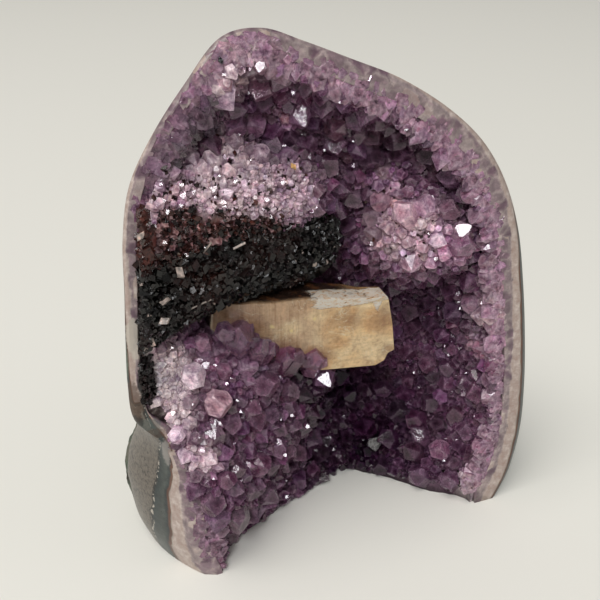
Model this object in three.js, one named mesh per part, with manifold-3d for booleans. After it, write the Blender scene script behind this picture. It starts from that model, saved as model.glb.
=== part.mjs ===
// Amethyst druse: a freestanding half geode with a flat cut base. A rock shell shaped like an apse holds
// a hollow lined with amethyst points, a black crystal ledge on its left wall and a bar of honey calcite.
// Millimetres, +Z up, the open face towards -Y, the origin at the middle of the footprint.
import * as THREE from "three";
import { ConvexHull } from "three/addons/math/ConvexHull.js";
import { mergeVertices } from "three/addons/utils/BufferGeometryUtils.js";
import Module from "manifold-3d";

const wasm = await Module();
wasm.setup();

// Driving dimensions of the shell
const FRONT_Y = -39; // the front cut at the base
const LEAN = 0.14; // how far the front cut leans back, per millimetre of height
const BACK_Y = 38; // the furthest point of the rock, on the base
const CENTRE_X = 2; // the shell narrows towards this line as it goes back
const EDGE_ROUND = 2.6; // polished round of the front edge
const LEFT_FLARE = [17.5, -8.5]; // how far the left flank swells behind the front edge, low down and high up
const CROWN_DROP = 5; // how far the top left falls away behind the front edge
const ORIGIN = [1.25, -1.8, 0]; // middle of the footprint in the frame that the dimensions are given in
const GAP = 0.3; // between touching pieces
const WALL_GAP = 0.42; // behind the crust

// The shell's front outline, x and z, from the right foot over the top to the left foot
const OUTLINE = [
  [60, 0],
  [65, 10],
  [68.5, 26],
  [69, 44],
  [68, 62],
  [66, 81],
  [63, 99],
  [57.5, 115],
  [49, 128.5],
  [37, 139.5],
  [22, 149],
  [7.5, 155.5],
  [-6.5, 161.5],
  [-18, 165.5],
  [-29.5, 163.8],
  [-40, 153.2],
  [-49.5, 141.5],
  [-57, 129],
  [-60.5, 115],
  [-62, 100],
  [-63.5, 86],
  [-64.5, 73],
  [-63.5, 61],
  [-56, 51],
  [-52.5, 38],
  [-51.5, 23],
  [-50, 10],
  [-47, 0],
];
// Thickness of the wall at the front edge, by the share of the way round the outline
const WALL = [
  [0, 11],
  [0.12, 9],
  [0.3, 8],
  [0.45, 6.5],
  [0.58, 4.5],
  [0.74, 4],
  [0.85, 5],
  [1, 4.5],
];

// The hollow
const HOLLOW_X = 12; // the hollow narrows towards this line
const HOLLOW_Y = 9; // the deepest point of its back wall
// Swellings of the hollow's wall: centre x and z, radii and how far each pushes towards the front
const SWELLINGS = [
  { x: -30, z: 44, rx: 34, rz: 34, push: 24 },
  { x: 22, z: 0, rx: 48, rz: 24, push: 13 },
];

const mix = (a, b, t) => a + (b - a) * t;
const smooth = (a, b, v) => {
  const t = Math.min(1, Math.max(0, (v - a) / (b - a)));
  return t * t * (3 - 2 * t);
};

const outline = new THREE.SplineCurve(OUTLINE.map(([x, z]) => new THREE.Vector2(x, z)));

function wallAt(s) {
  const i = WALL.findIndex(([at]) => s <= at);
  if (i <= 0) return WALL[0][1];
  const [s0, t0] = WALL[i - 1];
  const [s1, t1] = WALL[i];
  return mix(t0, t1, (s - s0) / (s1 - s0));
}

const rimY = (z) => FRONT_Y + LEAN * z;

// A rise and fall over w, from the front edge (0) to the back (1)
const swell = (w) => (w < 0.5 ? 1 - (1 - 2 * w) ** 2 : 1 - smooth(0.5, 1, w));

// How far the left wall moves outwards at a place on the outline, w of the way to the back
function leftFlare(o, w) {
  return mix(LEFT_FLARE[0], LEFT_FLARE[1], smooth(28, 80, o.y)) * swell(w) * smooth(-10, -45, o.x);
}

// How far the top left falls, w of the way to the back
function crownDrop(o, w) {
  return CROWN_DROP * swell(w) * smooth(120, 160, o.y) * smooth(25, -10, o.x);
}

// Outside of the shell: s runs round the outline, w from the front edge (0) to the back (1).
function outerPoint(s, w) {
  const o = outline.getPoint(s);
  const round = Math.max(0, 1 - (w * (BACK_Y - FRONT_Y)) / EDGE_ROUND);
  const inset = 1 - (EDGE_ROUND * (1 - Math.sqrt(1 - round * round))) / Math.hypot(o.x - CENTRE_X, o.y);
  const kx = Math.pow(1 - Math.pow(w, 2.6), 1 / 2.2) * inset;
  const kz = Math.pow(1 - Math.pow(w, 1.3), 1 / 2.2) * inset;
  return new THREE.Vector3(
    CENTRE_X + kx * (o.x - CENTRE_X) - leftFlare(o, w),
    mix(rimY(o.y), BACK_Y, w),
    kz * o.y - crownDrop(o, w),
  );
}

// The hollow's wall, without the crystals on it: the same two parameters. Where the shell leans
// inwards behind the front edge, the hollow leans with it.
function hollowPoint(s, w) {
  const o = outline.getPoint(s);
  const d = outline.getPoint(Math.min(1, s + 0.002)).sub(outline.getPoint(Math.max(0, s - 0.002)));
  const t = wallAt(s) / d.length();
  const x = o.x - d.y * t;
  const z = s <= 0 || s >= 1 ? 0 : Math.max(0, o.y + d.x * t);
  const up = smooth(0, 60, z);
  const k = Math.pow(1 - Math.pow(w, mix(1.5, 2.6, up)), 1 / mix(1.2, 2.1, up));
  const p = new THREE.Vector3(HOLLOW_X + k * (x - HOLLOW_X), mix(rimY(z), HOLLOW_Y, w), k * z);
  const back = (w * (HOLLOW_Y - rimY(z))) / (BACK_Y - FRONT_Y);
  p.x -= Math.min(0, leftFlare(o, back)) * 1.25 * k;
  p.z = Math.max(0, p.z - crownDrop(o, back) * 1.25 * k);
  for (const b of SWELLINGS) {
    const r = ((p.x - b.x) / b.rx) ** 2 + ((p.z - b.z) / b.rz) ** 2;
    p.y -= b.push * Math.exp(-r * r) * smooth(0, 0.6, w);
  }
  return p;
}

// Lumps of crystals that stand on the hollow's wall: centre x and z, radii and how far each stands out
const LUMPS = [
  { x: -26, z: 113, rx: 30, rz: 15, push: 19 }, // pale mound behind the black ledge
  { x: 33, z: 95, rx: 15, rz: 16, push: 17 }, // rosette on the right wall
  { x: 26, z: 115, rx: 8, rz: 7, push: 6 }, // small dome above the rosette
  { x: 47, z: 91, rx: 7, rz: 7, push: 6 }, // cluster between the rosette and the right edge
];

// The black ledge: a thick tongue that leaves the left wall and runs right and back
const LEDGE_PATH = [
  [-68, -22, 102],
  [-50, -19, 101.5],
  [-30, -16, 100.5],
  [-10, -10, 98.5],
  [8, -5, 97],
];
const LEDGE_HALF_HEIGHT = [21, 12.5]; // at its root and near its tip
const LEDGE_HALF_DEPTH = [10, 8];
const LEDGE_GAP = 0.8;
const LEDGE_RINGS = 16;
const LEDGE_AROUND = 16;
const LEDGE_TIPS = [0.6, 3.2]; // how far its small crystals stand out

// The calcite bar: outline of its front face, x and z, and the line that the face stands on
const CALCITE_OUTLINE = [
  [-37, 80],
  [-30, 72],
  [-12, 62],
  [-2.5, 58.5],
  [16, 57],
  [19, 58.5],
  [20, 61],
  [22.2, 62],
  [21, 72],
  [19, 82.2],
  [4, 84],
  [-16, 86],
  [-36, 88],
];
const CALCITE_FACE = { y: -21.6, turn: -0.073 };
const CALCITE_DEPTH = 13;
const CALCITE_BEVEL = 0.7;

// A fissure between the left wall and the swelling below the ledge
const FISSURE = { at: [-56, -25, 67], radii: [3.2, 12, 13] };

// The crust of amethyst points
const SLAB = 3; // height of the valleys between the points above the hollow's wall
const TIP_SPACING = [4.6, 9.5];
const TIP_HEIGHT = [0.42, 1]; // height of a point above its valleys, by the spacing
const VALLEY = 1.5; // how much deeper the valleys lie than the middle of three tips
const TIP_TRIES = 9000;
const RIM_STEPS = 56;
const BASE_STEPS = 16;

// Repeatable random numbers from 0 to 1
function randomFrom(seed) {
  let a = seed;
  return () => {
    a = (a + 0x6d2b79f5) | 0;
    let t = Math.imul(a ^ (a >>> 15), 1 | a);
    t = (t + Math.imul(t ^ (t >>> 7), 61 | t)) ^ t;
    return ((t ^ (t >>> 14)) >>> 0) / 4294967296;
  };
}

// A solid from loose triangles, each three Vector3: shared corners are merged and slivers dropped.
function solidOf(triangles) {
  const loose = new THREE.BufferGeometry().setFromPoints(triangles.flat());
  return solidOfGeometry(loose);
}

function solidOfGeometry(geometry) {
  const bare = geometry.index ? geometry.toNonIndexed() : geometry.clone();
  bare.deleteAttribute("normal");
  bare.deleteAttribute("uv");
  const merged = mergeVertices(bare, 1e-3);
  const kept = [];
  for (let i = 0; i < merged.index.count; i += 3) {
    const [a, b, c] = [0, 1, 2].map((k) => merged.index.getX(i + k));
    const sliver = a === b || b === c || a === c;
    if (!sliver) kept.push(a, b, c);
  }
  return new wasm.Manifold(
    new wasm.Mesh({
      numProp: 3,
      vertProperties: merged.attributes.position.array,
      triVerts: new Uint32Array(kept),
    }),
  );
}

function geometryOf(solid) {
  const mesh = solid.getMesh();
  const geometry = new THREE.BufferGeometry();
  const points = new Float32Array(mesh.numVert * 3);
  for (let i = 0; i < mesh.numVert; i++) {
    points.set(mesh.vertProperties.subarray(i * mesh.numProp, i * mesh.numProp + 3), i * 3);
  }
  geometry.setAttribute("position", new THREE.BufferAttribute(points, 3));
  geometry.setIndex(new THREE.BufferAttribute(mesh.triVerts, 1));
  const flat = geometry.toNonIndexed();
  flat.computeVertexNormals();
  return flat;
}

// Grid of points over s and w, s first
function grid(surface, across, depths) {
  return Array.from({ length: across + 1 }, (_, i) => depths.map((w) => surface(i / across, w)));
}

// Depth shares that crowd towards the front edge and the back
const depthRows = (rows) => Array.from({ length: rows + 1 }, (_, j) => Math.sin(((j / rows) * Math.PI) / 2));

// A wall between two surfaces over the same grid, closed at the front edge and on the base
function wallBetween(outer, inner) {
  const t = [];
  const last = outer.length - 1;
  const rows = outer[0].length - 1;
  for (let i = 0; i < last; i++) {
    for (let j = 0; j < rows; j++) {
      const [a, b, c, d] = [outer[i][j], outer[i + 1][j], outer[i + 1][j + 1], outer[i][j + 1]];
      t.push([a, d, c], [a, c, b]);
      const [e, f, g, h] = [inner[i][j], inner[i + 1][j], inner[i + 1][j + 1], inner[i][j + 1]];
      t.push([e, f, g], [e, g, h]);
    }
    t.push([outer[i][0], outer[i + 1][0], inner[i + 1][0]], [outer[i][0], inner[i + 1][0], inner[i][0]]);
  }
  for (let j = 0; j < rows; j++) {
    const [a, b, c, d] = [outer[0][j], outer[0][j + 1], inner[0][j + 1], inner[0][j]];
    t.push([a, d, c], [a, c, b]);
    const [e, f, g, h] = [outer[last][j], outer[last][j + 1], inner[last][j + 1], inner[last][j]];
    t.push([e, f, g], [e, g, h]);
  }
  return solidOf(t);
}

// The space in front of a hollow's surface, reaching forward past the front edge
const REACH_Y = -64;
const CAP_HEIGHT = 60;
function spaceIn(surface) {
  const rows = surface.map((line) => [line[0].clone().setY(REACH_Y), ...line]);
  const centre = new THREE.Vector3(HOLLOW_X, REACH_Y, CAP_HEIGHT);
  const last = rows.length - 1;
  const t = [];
  for (let i = 0; i < last; i++) {
    for (let j = 0; j < rows[0].length - 1; j++) {
      const [a, b, c, d] = [rows[i][j], rows[i + 1][j], rows[i + 1][j + 1], rows[i][j + 1]];
      t.push([a, d, c], [a, c, b]);
    }
    t.push([centre, rows[i][0], rows[i + 1][0]]);
  }
  t.push([centre, rows[last][0], rows[0][0]]);
  for (let j = 0; j < rows[0].length - 1; j++) {
    const [a, b, c, d] = [rows[0][j], rows[0][j + 1], rows[last][j + 1], rows[last][j]];
    t.push([a, d, c], [a, c, b]);
  }
  return solidOf(t);
}

// Unit normal of a surface over s and w, pointing into the hollow
function normalOf(surface, s, w) {
  const e = 0.004;
  const ds = surface(Math.min(1, s + e), w).sub(surface(Math.max(0, s - e), w));
  const dw = surface(s, Math.min(0.999, w + e)).sub(surface(s, Math.max(0, w - e)));
  return ds.cross(dw).normalize();
}

function hollowAbove(height) {
  return (s, w) => {
    const p = hollowPoint(s, w);
    const n = new THREE.Vector3(0, -1, 0);
    if (w < 1) n.copy(normalOf(hollowPoint, Math.min(0.99, Math.max(0.01, s)), w));
    if (s <= 0 || s >= 1) n.setZ(0).normalize();
    p.addScaledVector(n, height);
    return p.setZ(s <= 0 || s >= 1 || w >= 1 ? 0 : Math.max(0, p.z));
  };
}

// The surface under the points: the hollow's wall with the lumps on it
function crustPoint(s, w) {
  const p = hollowPoint(s, w);
  for (const b of LUMPS) {
    const r = ((p.x - b.x) / b.rx) ** 2 + ((p.z - b.z) / b.rz) ** 2;
    p.y -= b.push * Math.exp(-r * r);
  }
  return p;
}

// A place at a height above the crust's surface, with the direction away from it
function above(s, w, height) {
  const normal = normalOf(crustPoint, Math.min(0.995, Math.max(0.005, s)), Math.min(0.995, w));
  return { place: crustPoint(s, w).addScaledVector(normal, height), normal };
}

// Flat map of s and w for joining neighbours: the hollow's front outline, shrunk with depth
function flatPlace(s, w) {
  const o = hollowPoint(s, 0);
  const r = 0.7 * Math.pow(1 - Math.pow(w, 2.6), 1 / 2.1) + 0.3 * (1 - w);
  return new THREE.Vector2((o.x - HOLLOW_X) * r, Math.max(0, o.z) * r);
}

// The flat map's border: the same directions, moved out to a rounded arch that bends one way only
const ARCH = [84, 182];
function flatBorder(s) {
  const o = outline.getPoint(s);
  const [x, z] = [o.x - HOLLOW_X, Math.max(0, o.y)];
  const r = Math.pow(Math.pow(Math.abs(x) / ARCH[0], 3) + Math.pow(z / ARCH[1], 3), 1 / 3);
  return new THREE.Vector2(x / r, s <= 0 || s >= 1 ? 0 : z / r);
}

// Triangles that join flat points to their neighbours, as the underside of a hull over a bowl
function neighbours(flat) {
  const raised = flat.map((p) => new THREE.Vector3(p.x, p.y, p.x * p.x + p.y * p.y));
  const index = new Map(raised.map((p, i) => [p, i]));
  const triangles = [];
  for (const face of new ConvexHull().setFromPoints(raised).faces) {
    if (face.normal.z > -1e-9) continue;
    const [a, b, c] = [face.edge, face.edge.next, face.edge.prev].map((e) => index.get(e.head().point));
    triangles.push([a, b, c]);
  }
  return triangles;
}

// The air in front of the crystals. Tips are scattered over the crust's surface and joined to their
// neighbours; each such triangle has a valley at its middle, so every tip gets a pyramid of flat faces.
function airSolid(random) {
  const knots = [];
  const add = (flat, place, tip) => knots.push({ flat, place, tip });
  const edge = [];
  const border = (flat, place) => {
    edge.push(place);
    add(flat, place, false);
  };
  const rimPlace = (s, inward) => {
    const p = hollowPoint(s, 0);
    const n = normalOf(hollowPoint, Math.min(0.995, Math.max(0.005, s)), 0).setY(0).normalize();
    p.addScaledVector(n, inward);
    return p.setY(rimY(p.z));
  };
  for (let i = 0; i <= RIM_STEPS; i++) border(flatBorder(i / RIM_STEPS), rimPlace(i / RIM_STEPS, -3));
  for (const [end, sign] of [[1, 1], [0, -1]]) {
    for (let i = 1; i < BASE_STEPS + (sign > 0 ? 1 : 0); i++) {
      const w = sign > 0 ? i / BASE_STEPS : 1 - i / BASE_STEPS;
      border(flatPlace(end, w), above(end, w, SLAB).place);
    }
  }
  for (const p of edge.filter((place) => place.z < 8)) p.setZ(Math.min(p.z, -2));
  for (let i = 1; i < RIM_STEPS; i++) add(flatPlace(i / RIM_STEPS, 0), rimPlace(i / RIM_STEPS, SLAB), false);
  const taken = [];
  for (let n = 0; n < TIP_TRIES; n++) {
    const s = mix(0.008, 0.992, random());
    const w = mix(0.03, 0.99, random());
    const { place, normal } = above(s, w, SLAB);
    const gap = mix(TIP_SPACING[0], TIP_SPACING[1], random() ** 1.6);
    if (place.z < 2.5 || taken.some((q) => q.place.distanceTo(place) < (gap + q.gap) / 2)) continue;
    taken.push({ place: place.clone(), gap });
    const lean = new THREE.Vector3(random() - 0.5, random() - 0.5, random() - 0.5).multiplyScalar(0.3 * gap);
    const height = gap * mix(TIP_HEIGHT[0], TIP_HEIGHT[1], random());
    add(flatPlace(s, w), place.add(lean).addScaledVector(normal, height), true);
  }
  return closedAir(knots, edge);
}

function closedAir(knots, edge) {
  const t = [];
  const middles = new Map();
  const triangles = neighbours(knots.map((k) => k.flat));
  for (const [a, b, c] of triangles) {
    const p = [a, b, c].map((i) => knots[i]);
    const middle = new THREE.Vector3();
    for (const k of p) middle.addScaledVector(k.place, 1 / 3);
    const raised = p.filter((k) => k.tip).length;
    middle.y += raised === 3 ? VALLEY : 0;
    for (const [i, j] of [[a, b], [b, c], [c, a]]) middles.set(i * 65536 + j, middle);
  }
  for (const [key, middle] of middles) {
    const [i, j] = [Math.floor(key / 65536), key % 65536];
    const across = middles.get(j * 65536 + i);
    if (across) t.push([knots[i].place, across, middle]);
    else t.push([knots[i].place, knots[j].place, middle]);
  }
  const centre = new THREE.Vector3(HOLLOW_X, REACH_Y - 2, CAP_HEIGHT);
  const far = (p) => p.clone().setY(REACH_Y - 2);
  edge.forEach((p, i) => {
    const q = edge[(i + 1) % edge.length];
    t.push([p, q, far(q)], [p, far(q), far(p)], [centre, far(p), far(q)]);
  });
  return solidOf(t);
}

// The ledge, larger by grow all round: rings along its path, with a small crystal on every facet
function ledgeSolid(grow) {
  const random = randomFrom(5);
  const path = new THREE.CatmullRomCurve3(LEDGE_PATH.map((p) => new THREE.Vector3(...p)));
  const onLedge = (t, a, more) => {
    const end = t < 0.78 ? 1 : Math.sqrt(Math.max(0, 1 - ((t - 0.78) / 0.22) ** 2));
    const [c, q] = [Math.cos(a), Math.sin(a)];
    const high = mix(LEDGE_HALF_HEIGHT[0], LEDGE_HALF_HEIGHT[1], smooth(0, 0.6, t)) * end + more;
    const deep = mix(LEDGE_HALF_DEPTH[0], LEDGE_HALF_DEPTH[1], t) * end + more;
    const y = deep * Math.sign(c) * Math.abs(c) ** 0.75;
    const z = high * Math.sign(q) * Math.abs(q) ** 0.75;
    return path.getPoint(t).add(new THREE.Vector3(more * smooth(0.7, 1, t), y, z));
  };
  const t = [];
  const twist = (i) => (i % 2) * 0.5;
  const ring = (i) =>
    Array.from({ length: LEDGE_AROUND }, (_, k) => {
      const jitter = i > 0 && i < LEDGE_RINGS ? 0.5 * (random() - 0.5) : 0;
      const a = ((k + twist(i) + jitter) * 2 * Math.PI) / LEDGE_AROUND;
      return onLedge(Math.sin(((i / LEDGE_RINGS) * Math.PI) / 2), a, grow + (random() - 0.5) * 0.8);
    });
  const rings = Array.from({ length: LEDGE_RINGS + 1 }, (_, i) => ring(i));
  const facet = (a, b, c) => {
    const out = b.clone().sub(a).cross(c.clone().sub(a)).normalize();
    const height = mix(LEDGE_TIPS[0], LEDGE_TIPS[1], random());
    if (out.y > 0.2) {
      t.push([a, b, c]);
      return;
    }
    const tip = a.clone().add(b).add(c).divideScalar(3).addScaledVector(out, height);
    t.push([a, b, tip], [b, c, tip], [c, a, tip]);
  };
  for (let i = 0; i < LEDGE_RINGS; i++) {
    const [a, b] = [rings[i], rings[i + 1]];
    for (let k = 0; k < LEDGE_AROUND; k++) {
      const n = (k + 1) % LEDGE_AROUND;
      if (i % 2) {
        facet(a[k], a[n], b[n]);
        facet(a[k], b[n], b[k]);
      } else {
        facet(a[k], a[n], b[k]);
        facet(a[n], b[n], b[k]);
      }
    }
  }
  const tip = new THREE.Vector3();
  for (const p of rings[LEDGE_RINGS]) tip.addScaledVector(p, 1 / LEDGE_AROUND);
  for (let k = 1; k < LEDGE_AROUND - 1; k++) t.push([rings[0][0], rings[0][k + 1], rings[0][k]]);
  for (let k = 0; k < LEDGE_AROUND; k++) {
    const n = (k + 1) % LEDGE_AROUND;
    t.push([tip, rings[LEDGE_RINGS][k], rings[LEDGE_RINGS][n]]);
  }
  return solidOf(t);
}

// The calcite bar: its outline pushed back from the front face, larger by grow all round
function calciteSolid(grow) {
  const shape = new THREE.Shape(CALCITE_OUTLINE.map(([x, z]) => new THREE.Vector2(x, z)));
  const geometry = new THREE.ExtrudeGeometry(shape, {
    depth: CALCITE_DEPTH - 2 * CALCITE_BEVEL,
    bevelSize: CALCITE_BEVEL + grow,
    bevelOffset: -CALCITE_BEVEL,
    bevelThickness: CALCITE_BEVEL + grow,
    bevelSegments: 1,
    steps: 1,
  });
  const position = geometry.attributes.position;
  for (let i = 0; i < position.count; i++) {
    const [x, z, deep] = [position.getX(i), position.getY(i), position.getZ(i)];
    const taper = mix(1, 0.55, smooth(-8, 22, x));
    position.setXYZ(i, x, CALCITE_FACE.y + CALCITE_FACE.turn * x + CALCITE_BEVEL + deep * taper, z);
  }
  return solidOfGeometry(flipped(geometry));
}

// The same triangles wound the other way, after a swap of two axes
function flipped(geometry) {
  const position = geometry.attributes.position;
  for (let i = 0; i < position.count; i += 3) {
    const [b, c] = [1, 2].map((k) => new THREE.Vector3().fromBufferAttribute(position, i + k));
    position.setXYZ(i + 1, c.x, c.y, c.z);
    position.setXYZ(i + 2, b.x, b.y, b.z);
  }
  return geometry;
}

// The fissure: a flattened ball of few facets
function fissureSolid() {
  const ball = new THREE.IcosahedronGeometry(1, 2);
  ball.scale(...FISSURE.radii);
  ball.rotateY(-0.12);
  ball.translate(...FISSURE.at);
  return solidOfGeometry(ball);
}

const largest = (solid) => solid.decompose().sort((a, b) => b.volume() - a.volume())[0];

function named(name, solid, color, roughness) {
  const material = new THREE.MeshStandardMaterial({ color, roughness, metalness: 0 });
  const mesh = new THREE.Mesh(geometryOf(solid), material);
  mesh.name = name;
  return mesh;
}

const depths = depthRows(10);
const across = 36;
const fissure = fissureSolid();
const walls = wallBetween(grid(outerPoint, across, depths), grid(hollowPoint, across, depths));
const shell = largest(walls.subtract(fissure));
const room = spaceIn(grid(hollowAbove(WALL_GAP), across, depths));
const calcite = largest(calciteSolid(0).intersect(room));
const ledge = largest(ledgeSolid(0).intersect(room).subtract(calciteSolid(GAP)));
const lining = room.subtract(airSolid(randomFrom(17)));
const cuts = wasm.Manifold.union([ledgeSolid(LEDGE_GAP), ledgeSolid(0), calciteSolid(GAP), fissure, shell]);
const crust = largest(lining.subtract(cuts));

const group = new THREE.Group();
group.add(named("rock_shell", shell, 0x8d8f88, 0.4));
group.add(named("amethyst_crust", crust, 0x6a4a7c, 0.25));
group.add(named("black_ledge", ledge, 0x1d1a1c, 0.3));
group.add(named("calcite_crystal", calcite, 0xc9a878, 0.3));

group.position.set(-ORIGIN[0], -ORIGIN[1], -ORIGIN[2]);

export default group;
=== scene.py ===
# Amethyst druse: a standing half geode with a polished front edge, a hollow full of amethyst points,
# a black goethite ledge and a bar of honey calcite. Places are in millimetres until a mesh is made.
import bmesh
import bpy
import itertools
import math
import numpy as np
from mathutils import Matrix, Vector
from mathutils.bvhtree import BVHTree


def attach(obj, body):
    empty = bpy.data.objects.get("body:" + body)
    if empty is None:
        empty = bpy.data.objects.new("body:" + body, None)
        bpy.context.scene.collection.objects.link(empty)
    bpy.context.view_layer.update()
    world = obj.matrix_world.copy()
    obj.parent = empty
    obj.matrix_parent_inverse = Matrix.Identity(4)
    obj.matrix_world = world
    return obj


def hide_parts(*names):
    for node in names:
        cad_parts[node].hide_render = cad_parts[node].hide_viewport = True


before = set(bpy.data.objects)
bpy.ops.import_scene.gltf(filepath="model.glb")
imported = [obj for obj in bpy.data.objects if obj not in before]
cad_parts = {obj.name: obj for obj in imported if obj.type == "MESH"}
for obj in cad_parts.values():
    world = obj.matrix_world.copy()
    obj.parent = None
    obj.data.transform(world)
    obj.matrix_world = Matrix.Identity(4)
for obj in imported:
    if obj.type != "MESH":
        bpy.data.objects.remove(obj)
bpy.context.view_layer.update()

# The shell's front outline, x and z, from the right foot over the top to the left foot
outlinePoints = np.array([
    (60, 0), (65, 10), (68.5, 26), (69, 44), (68, 62), (66, 81), (63, 99), (57.5, 115), (49, 128.5),
    (37, 139.5), (22, 149), (7.5, 155.5), (-6.5, 161.5), (-18, 165.5), (-29.5, 163.8), (-40, 153.2),
    (-49.5, 141.5), (-57, 129), (-60.5, 115), (-62, 100), (-63.5, 86), (-64.5, 73), (-63.5, 61), (-56, 51),
    (-52.5, 38), (-51.5, 23), (-50, 10), (-47, 0)], dtype=float)

shell = {
    "frontY": -39.0,  # the front cut at the base
    "lean": 0.14,  # how far the cut leans back, per millimetre of height
    "backY": 38.0,
    "centreX": 2.0,
    "edgeRound": 2.6,
    "widePower": 2.6, "highPower": 1.3, "backRoot": 2.2,  # the super-ellipse towards the back
    "flareLow": 17.5,  # swelling of the left flank low down
    "flareHigh": -8.5,  # and high up, where it leans inwards
    "crownDrop": 5.0,  # how far the top left falls away behind the front edge
    "wallShare": (0, 0.12, 0.3, 0.45, 0.58, 0.74, 0.85, 1),
    "wall": (11, 9, 8, 6.5, 4.5, 4, 5, 4.5),
    "hollowX": 12.0,
    "hollowY": 9.0,
    "origin": (1.25, -1.8, 0.0),
}

# The viewing angle, and where the window stands whose light flashes from some of the faces
view = {"turn": -20, "tilt": 30, "distance": 262, "target": (-6.25, -6.7, 78), "window": (-1300, -2100, 2600)}

# Swellings of the hollow's wall and lumps of crystals on it: x, z, their radii, and the push forwards
swellings = ((-30, 44, 34, 34, 24), (22, 0, 48, 24, 13))
lumps = ((-26, 113, 30, 15, 19), (33, 95, 15, 16, 17), (26, 115, 8, 7, 6), (47, 91, 7, 7, 6))


def mix(a, b, share):
    # the value that lies a share of the way from a to b
    return a + (b - a) * share


def smooth(low, high, value):
    # 0 below low, 1 above high, an S curve between them
    t = np.clip((value - low) / (high - low), 0, 1)
    return t * t * (3 - 2 * t)


def splineAt(points, share):
    # Catmull-Rom curve through the points, share from 0 to 1 by point number
    last = len(points) - 1
    p = last * np.clip(share, 0, 1)
    i = np.clip(np.floor(p).astype(int), 0, last - 1)
    t = (p - i)[..., None]
    before, here = points[np.maximum(i - 1, 0)], points[i]
    after, beyond = points[i + 1], points[np.minimum(i + 2, last)]
    leave, arrive = (after - before) / 2, (beyond - here) / 2
    return ((2 * here - 2 * after + leave + arrive) * t**3
            + (-3 * here + 3 * after - 2 * leave - arrive) * t**2 + leave * t + here)


def outlineAt(s):
    return splineAt(outlinePoints, s)


def rimY(z):
    # the front cut's plane, which leans back with the height
    return shell["frontY"] + shell["lean"] * z


def swellAt(w):
    # a rise and fall from the front edge to the back: a parabola, then an S curve down
    return np.where(w < 0.5, 1 - (1 - 2 * w) ** 2, 1 - smooth(0.5, 1, w))


def flareAt(spot, w):
    # how far the left wall stands outwards, low down, or leans inwards, high up
    left = smooth(-10, -45, spot[..., 0])
    return mix(shell["flareLow"], shell["flareHigh"], smooth(28, 80, spot[..., 1])) * swellAt(w) * left


def dropAt(spot, w):
    # how far the top left falls behind the front edge
    return shell["crownDrop"] * swellAt(w) * smooth(120, 160, spot[..., 1]) * smooth(25, -10, spot[..., 0])


def drawnIn(w, power, root):
    # a super-ellipse, 1 at the front edge and 0 at the back
    return np.power(1 - np.power(w, power), 1 / root)


def hillAt(x, z, hill):
    # a smooth hill: its height times e to minus the fourth power of the distance in its radii
    atX, atZ, radiusX, radiusZ, height = hill
    r = ((x - atX) / radiusX) ** 2 + ((z - atZ) / radiusZ) ** 2
    return height * np.exp(-r * r)


def outerPoint(s, w):
    # the outline drawn in towards the back by a super-ellipse, after a rounded front edge
    s, w = np.broadcast_arrays(np.asarray(s, float), np.asarray(w, float))
    spot = outlineAt(s)
    turn = np.maximum(0, 1 - w * (shell["backY"] - shell["frontY"]) / shell["edgeRound"])
    reach = np.hypot(spot[..., 0] - shell["centreX"], spot[..., 1])
    inset = 1 - shell["edgeRound"] * (1 - np.sqrt(np.maximum(0, 1 - turn * turn))) / reach
    wide = drawnIn(w, shell["widePower"], shell["backRoot"]) * inset
    high = drawnIn(w, shell["highPower"], shell["backRoot"]) * inset
    x = shell["centreX"] + wide * (spot[..., 0] - shell["centreX"]) - flareAt(spot, w)
    z = high * spot[..., 1] - dropAt(spot, w)
    return np.stack([x, mix(rimY(spot[..., 1]), shell["backY"], w), z], -1)


def hollowPoint(s, w):
    # the outline moved inwards by the wall, drawn in to the hollow's deepest point, with swellings
    s, w = np.broadcast_arrays(np.asarray(s, float), np.asarray(w, float))
    spot = outlineAt(s)
    step = outlineAt(np.minimum(1, s + 0.002)) - outlineAt(np.maximum(0, s - 0.002))
    wall = np.interp(s, shell["wallShare"], shell["wall"]) / np.hypot(step[..., 0], step[..., 1])
    x = spot[..., 0] - step[..., 1] * wall
    z = np.where((s <= 0) | (s >= 1), 0, np.maximum(0, spot[..., 1] + step[..., 0] * wall))
    up = smooth(0, 60, z)
    draw = drawnIn(w, mix(1.5, 2.6, up), mix(1.2, 2.1, up))
    y = mix(rimY(z), shell["hollowY"], w)
    back = w * (shell["hollowY"] - rimY(z)) / (shell["backY"] - shell["frontY"])
    x = shell["hollowX"] + draw * (x - shell["hollowX"]) - np.minimum(0, flareAt(spot, back)) * 1.25 * draw
    z = np.maximum(0, draw * z - dropAt(spot, back) * 1.25 * draw)
    for hill in swellings:
        y = y - hillAt(x, z, hill) * smooth(0, 0.6, w)
    return np.stack([x, y, z], -1)


def crustPoint(s, w):
    # the hollow's wall with the lumps of crystals on it
    p = hollowPoint(s, w)
    for hill in lumps:
        p[..., 1] -= hillAt(p[..., 0], p[..., 2], hill)
    return p


def normalOf(surface, s, w, step=0.004):
    # cross product of the steps along s and w; into the hollow for the inner surfaces
    alongS = surface(np.minimum(1, s + step), w) - surface(np.maximum(0, s - step), w)
    alongW = surface(s, np.minimum(0.999, w + step)) - surface(s, np.maximum(0, w - step))
    return unit(np.cross(alongS, alongW))


def unit(v):
    return v / np.maximum(1e-9, np.linalg.norm(v, axis=-1, keepdims=True))


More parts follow.
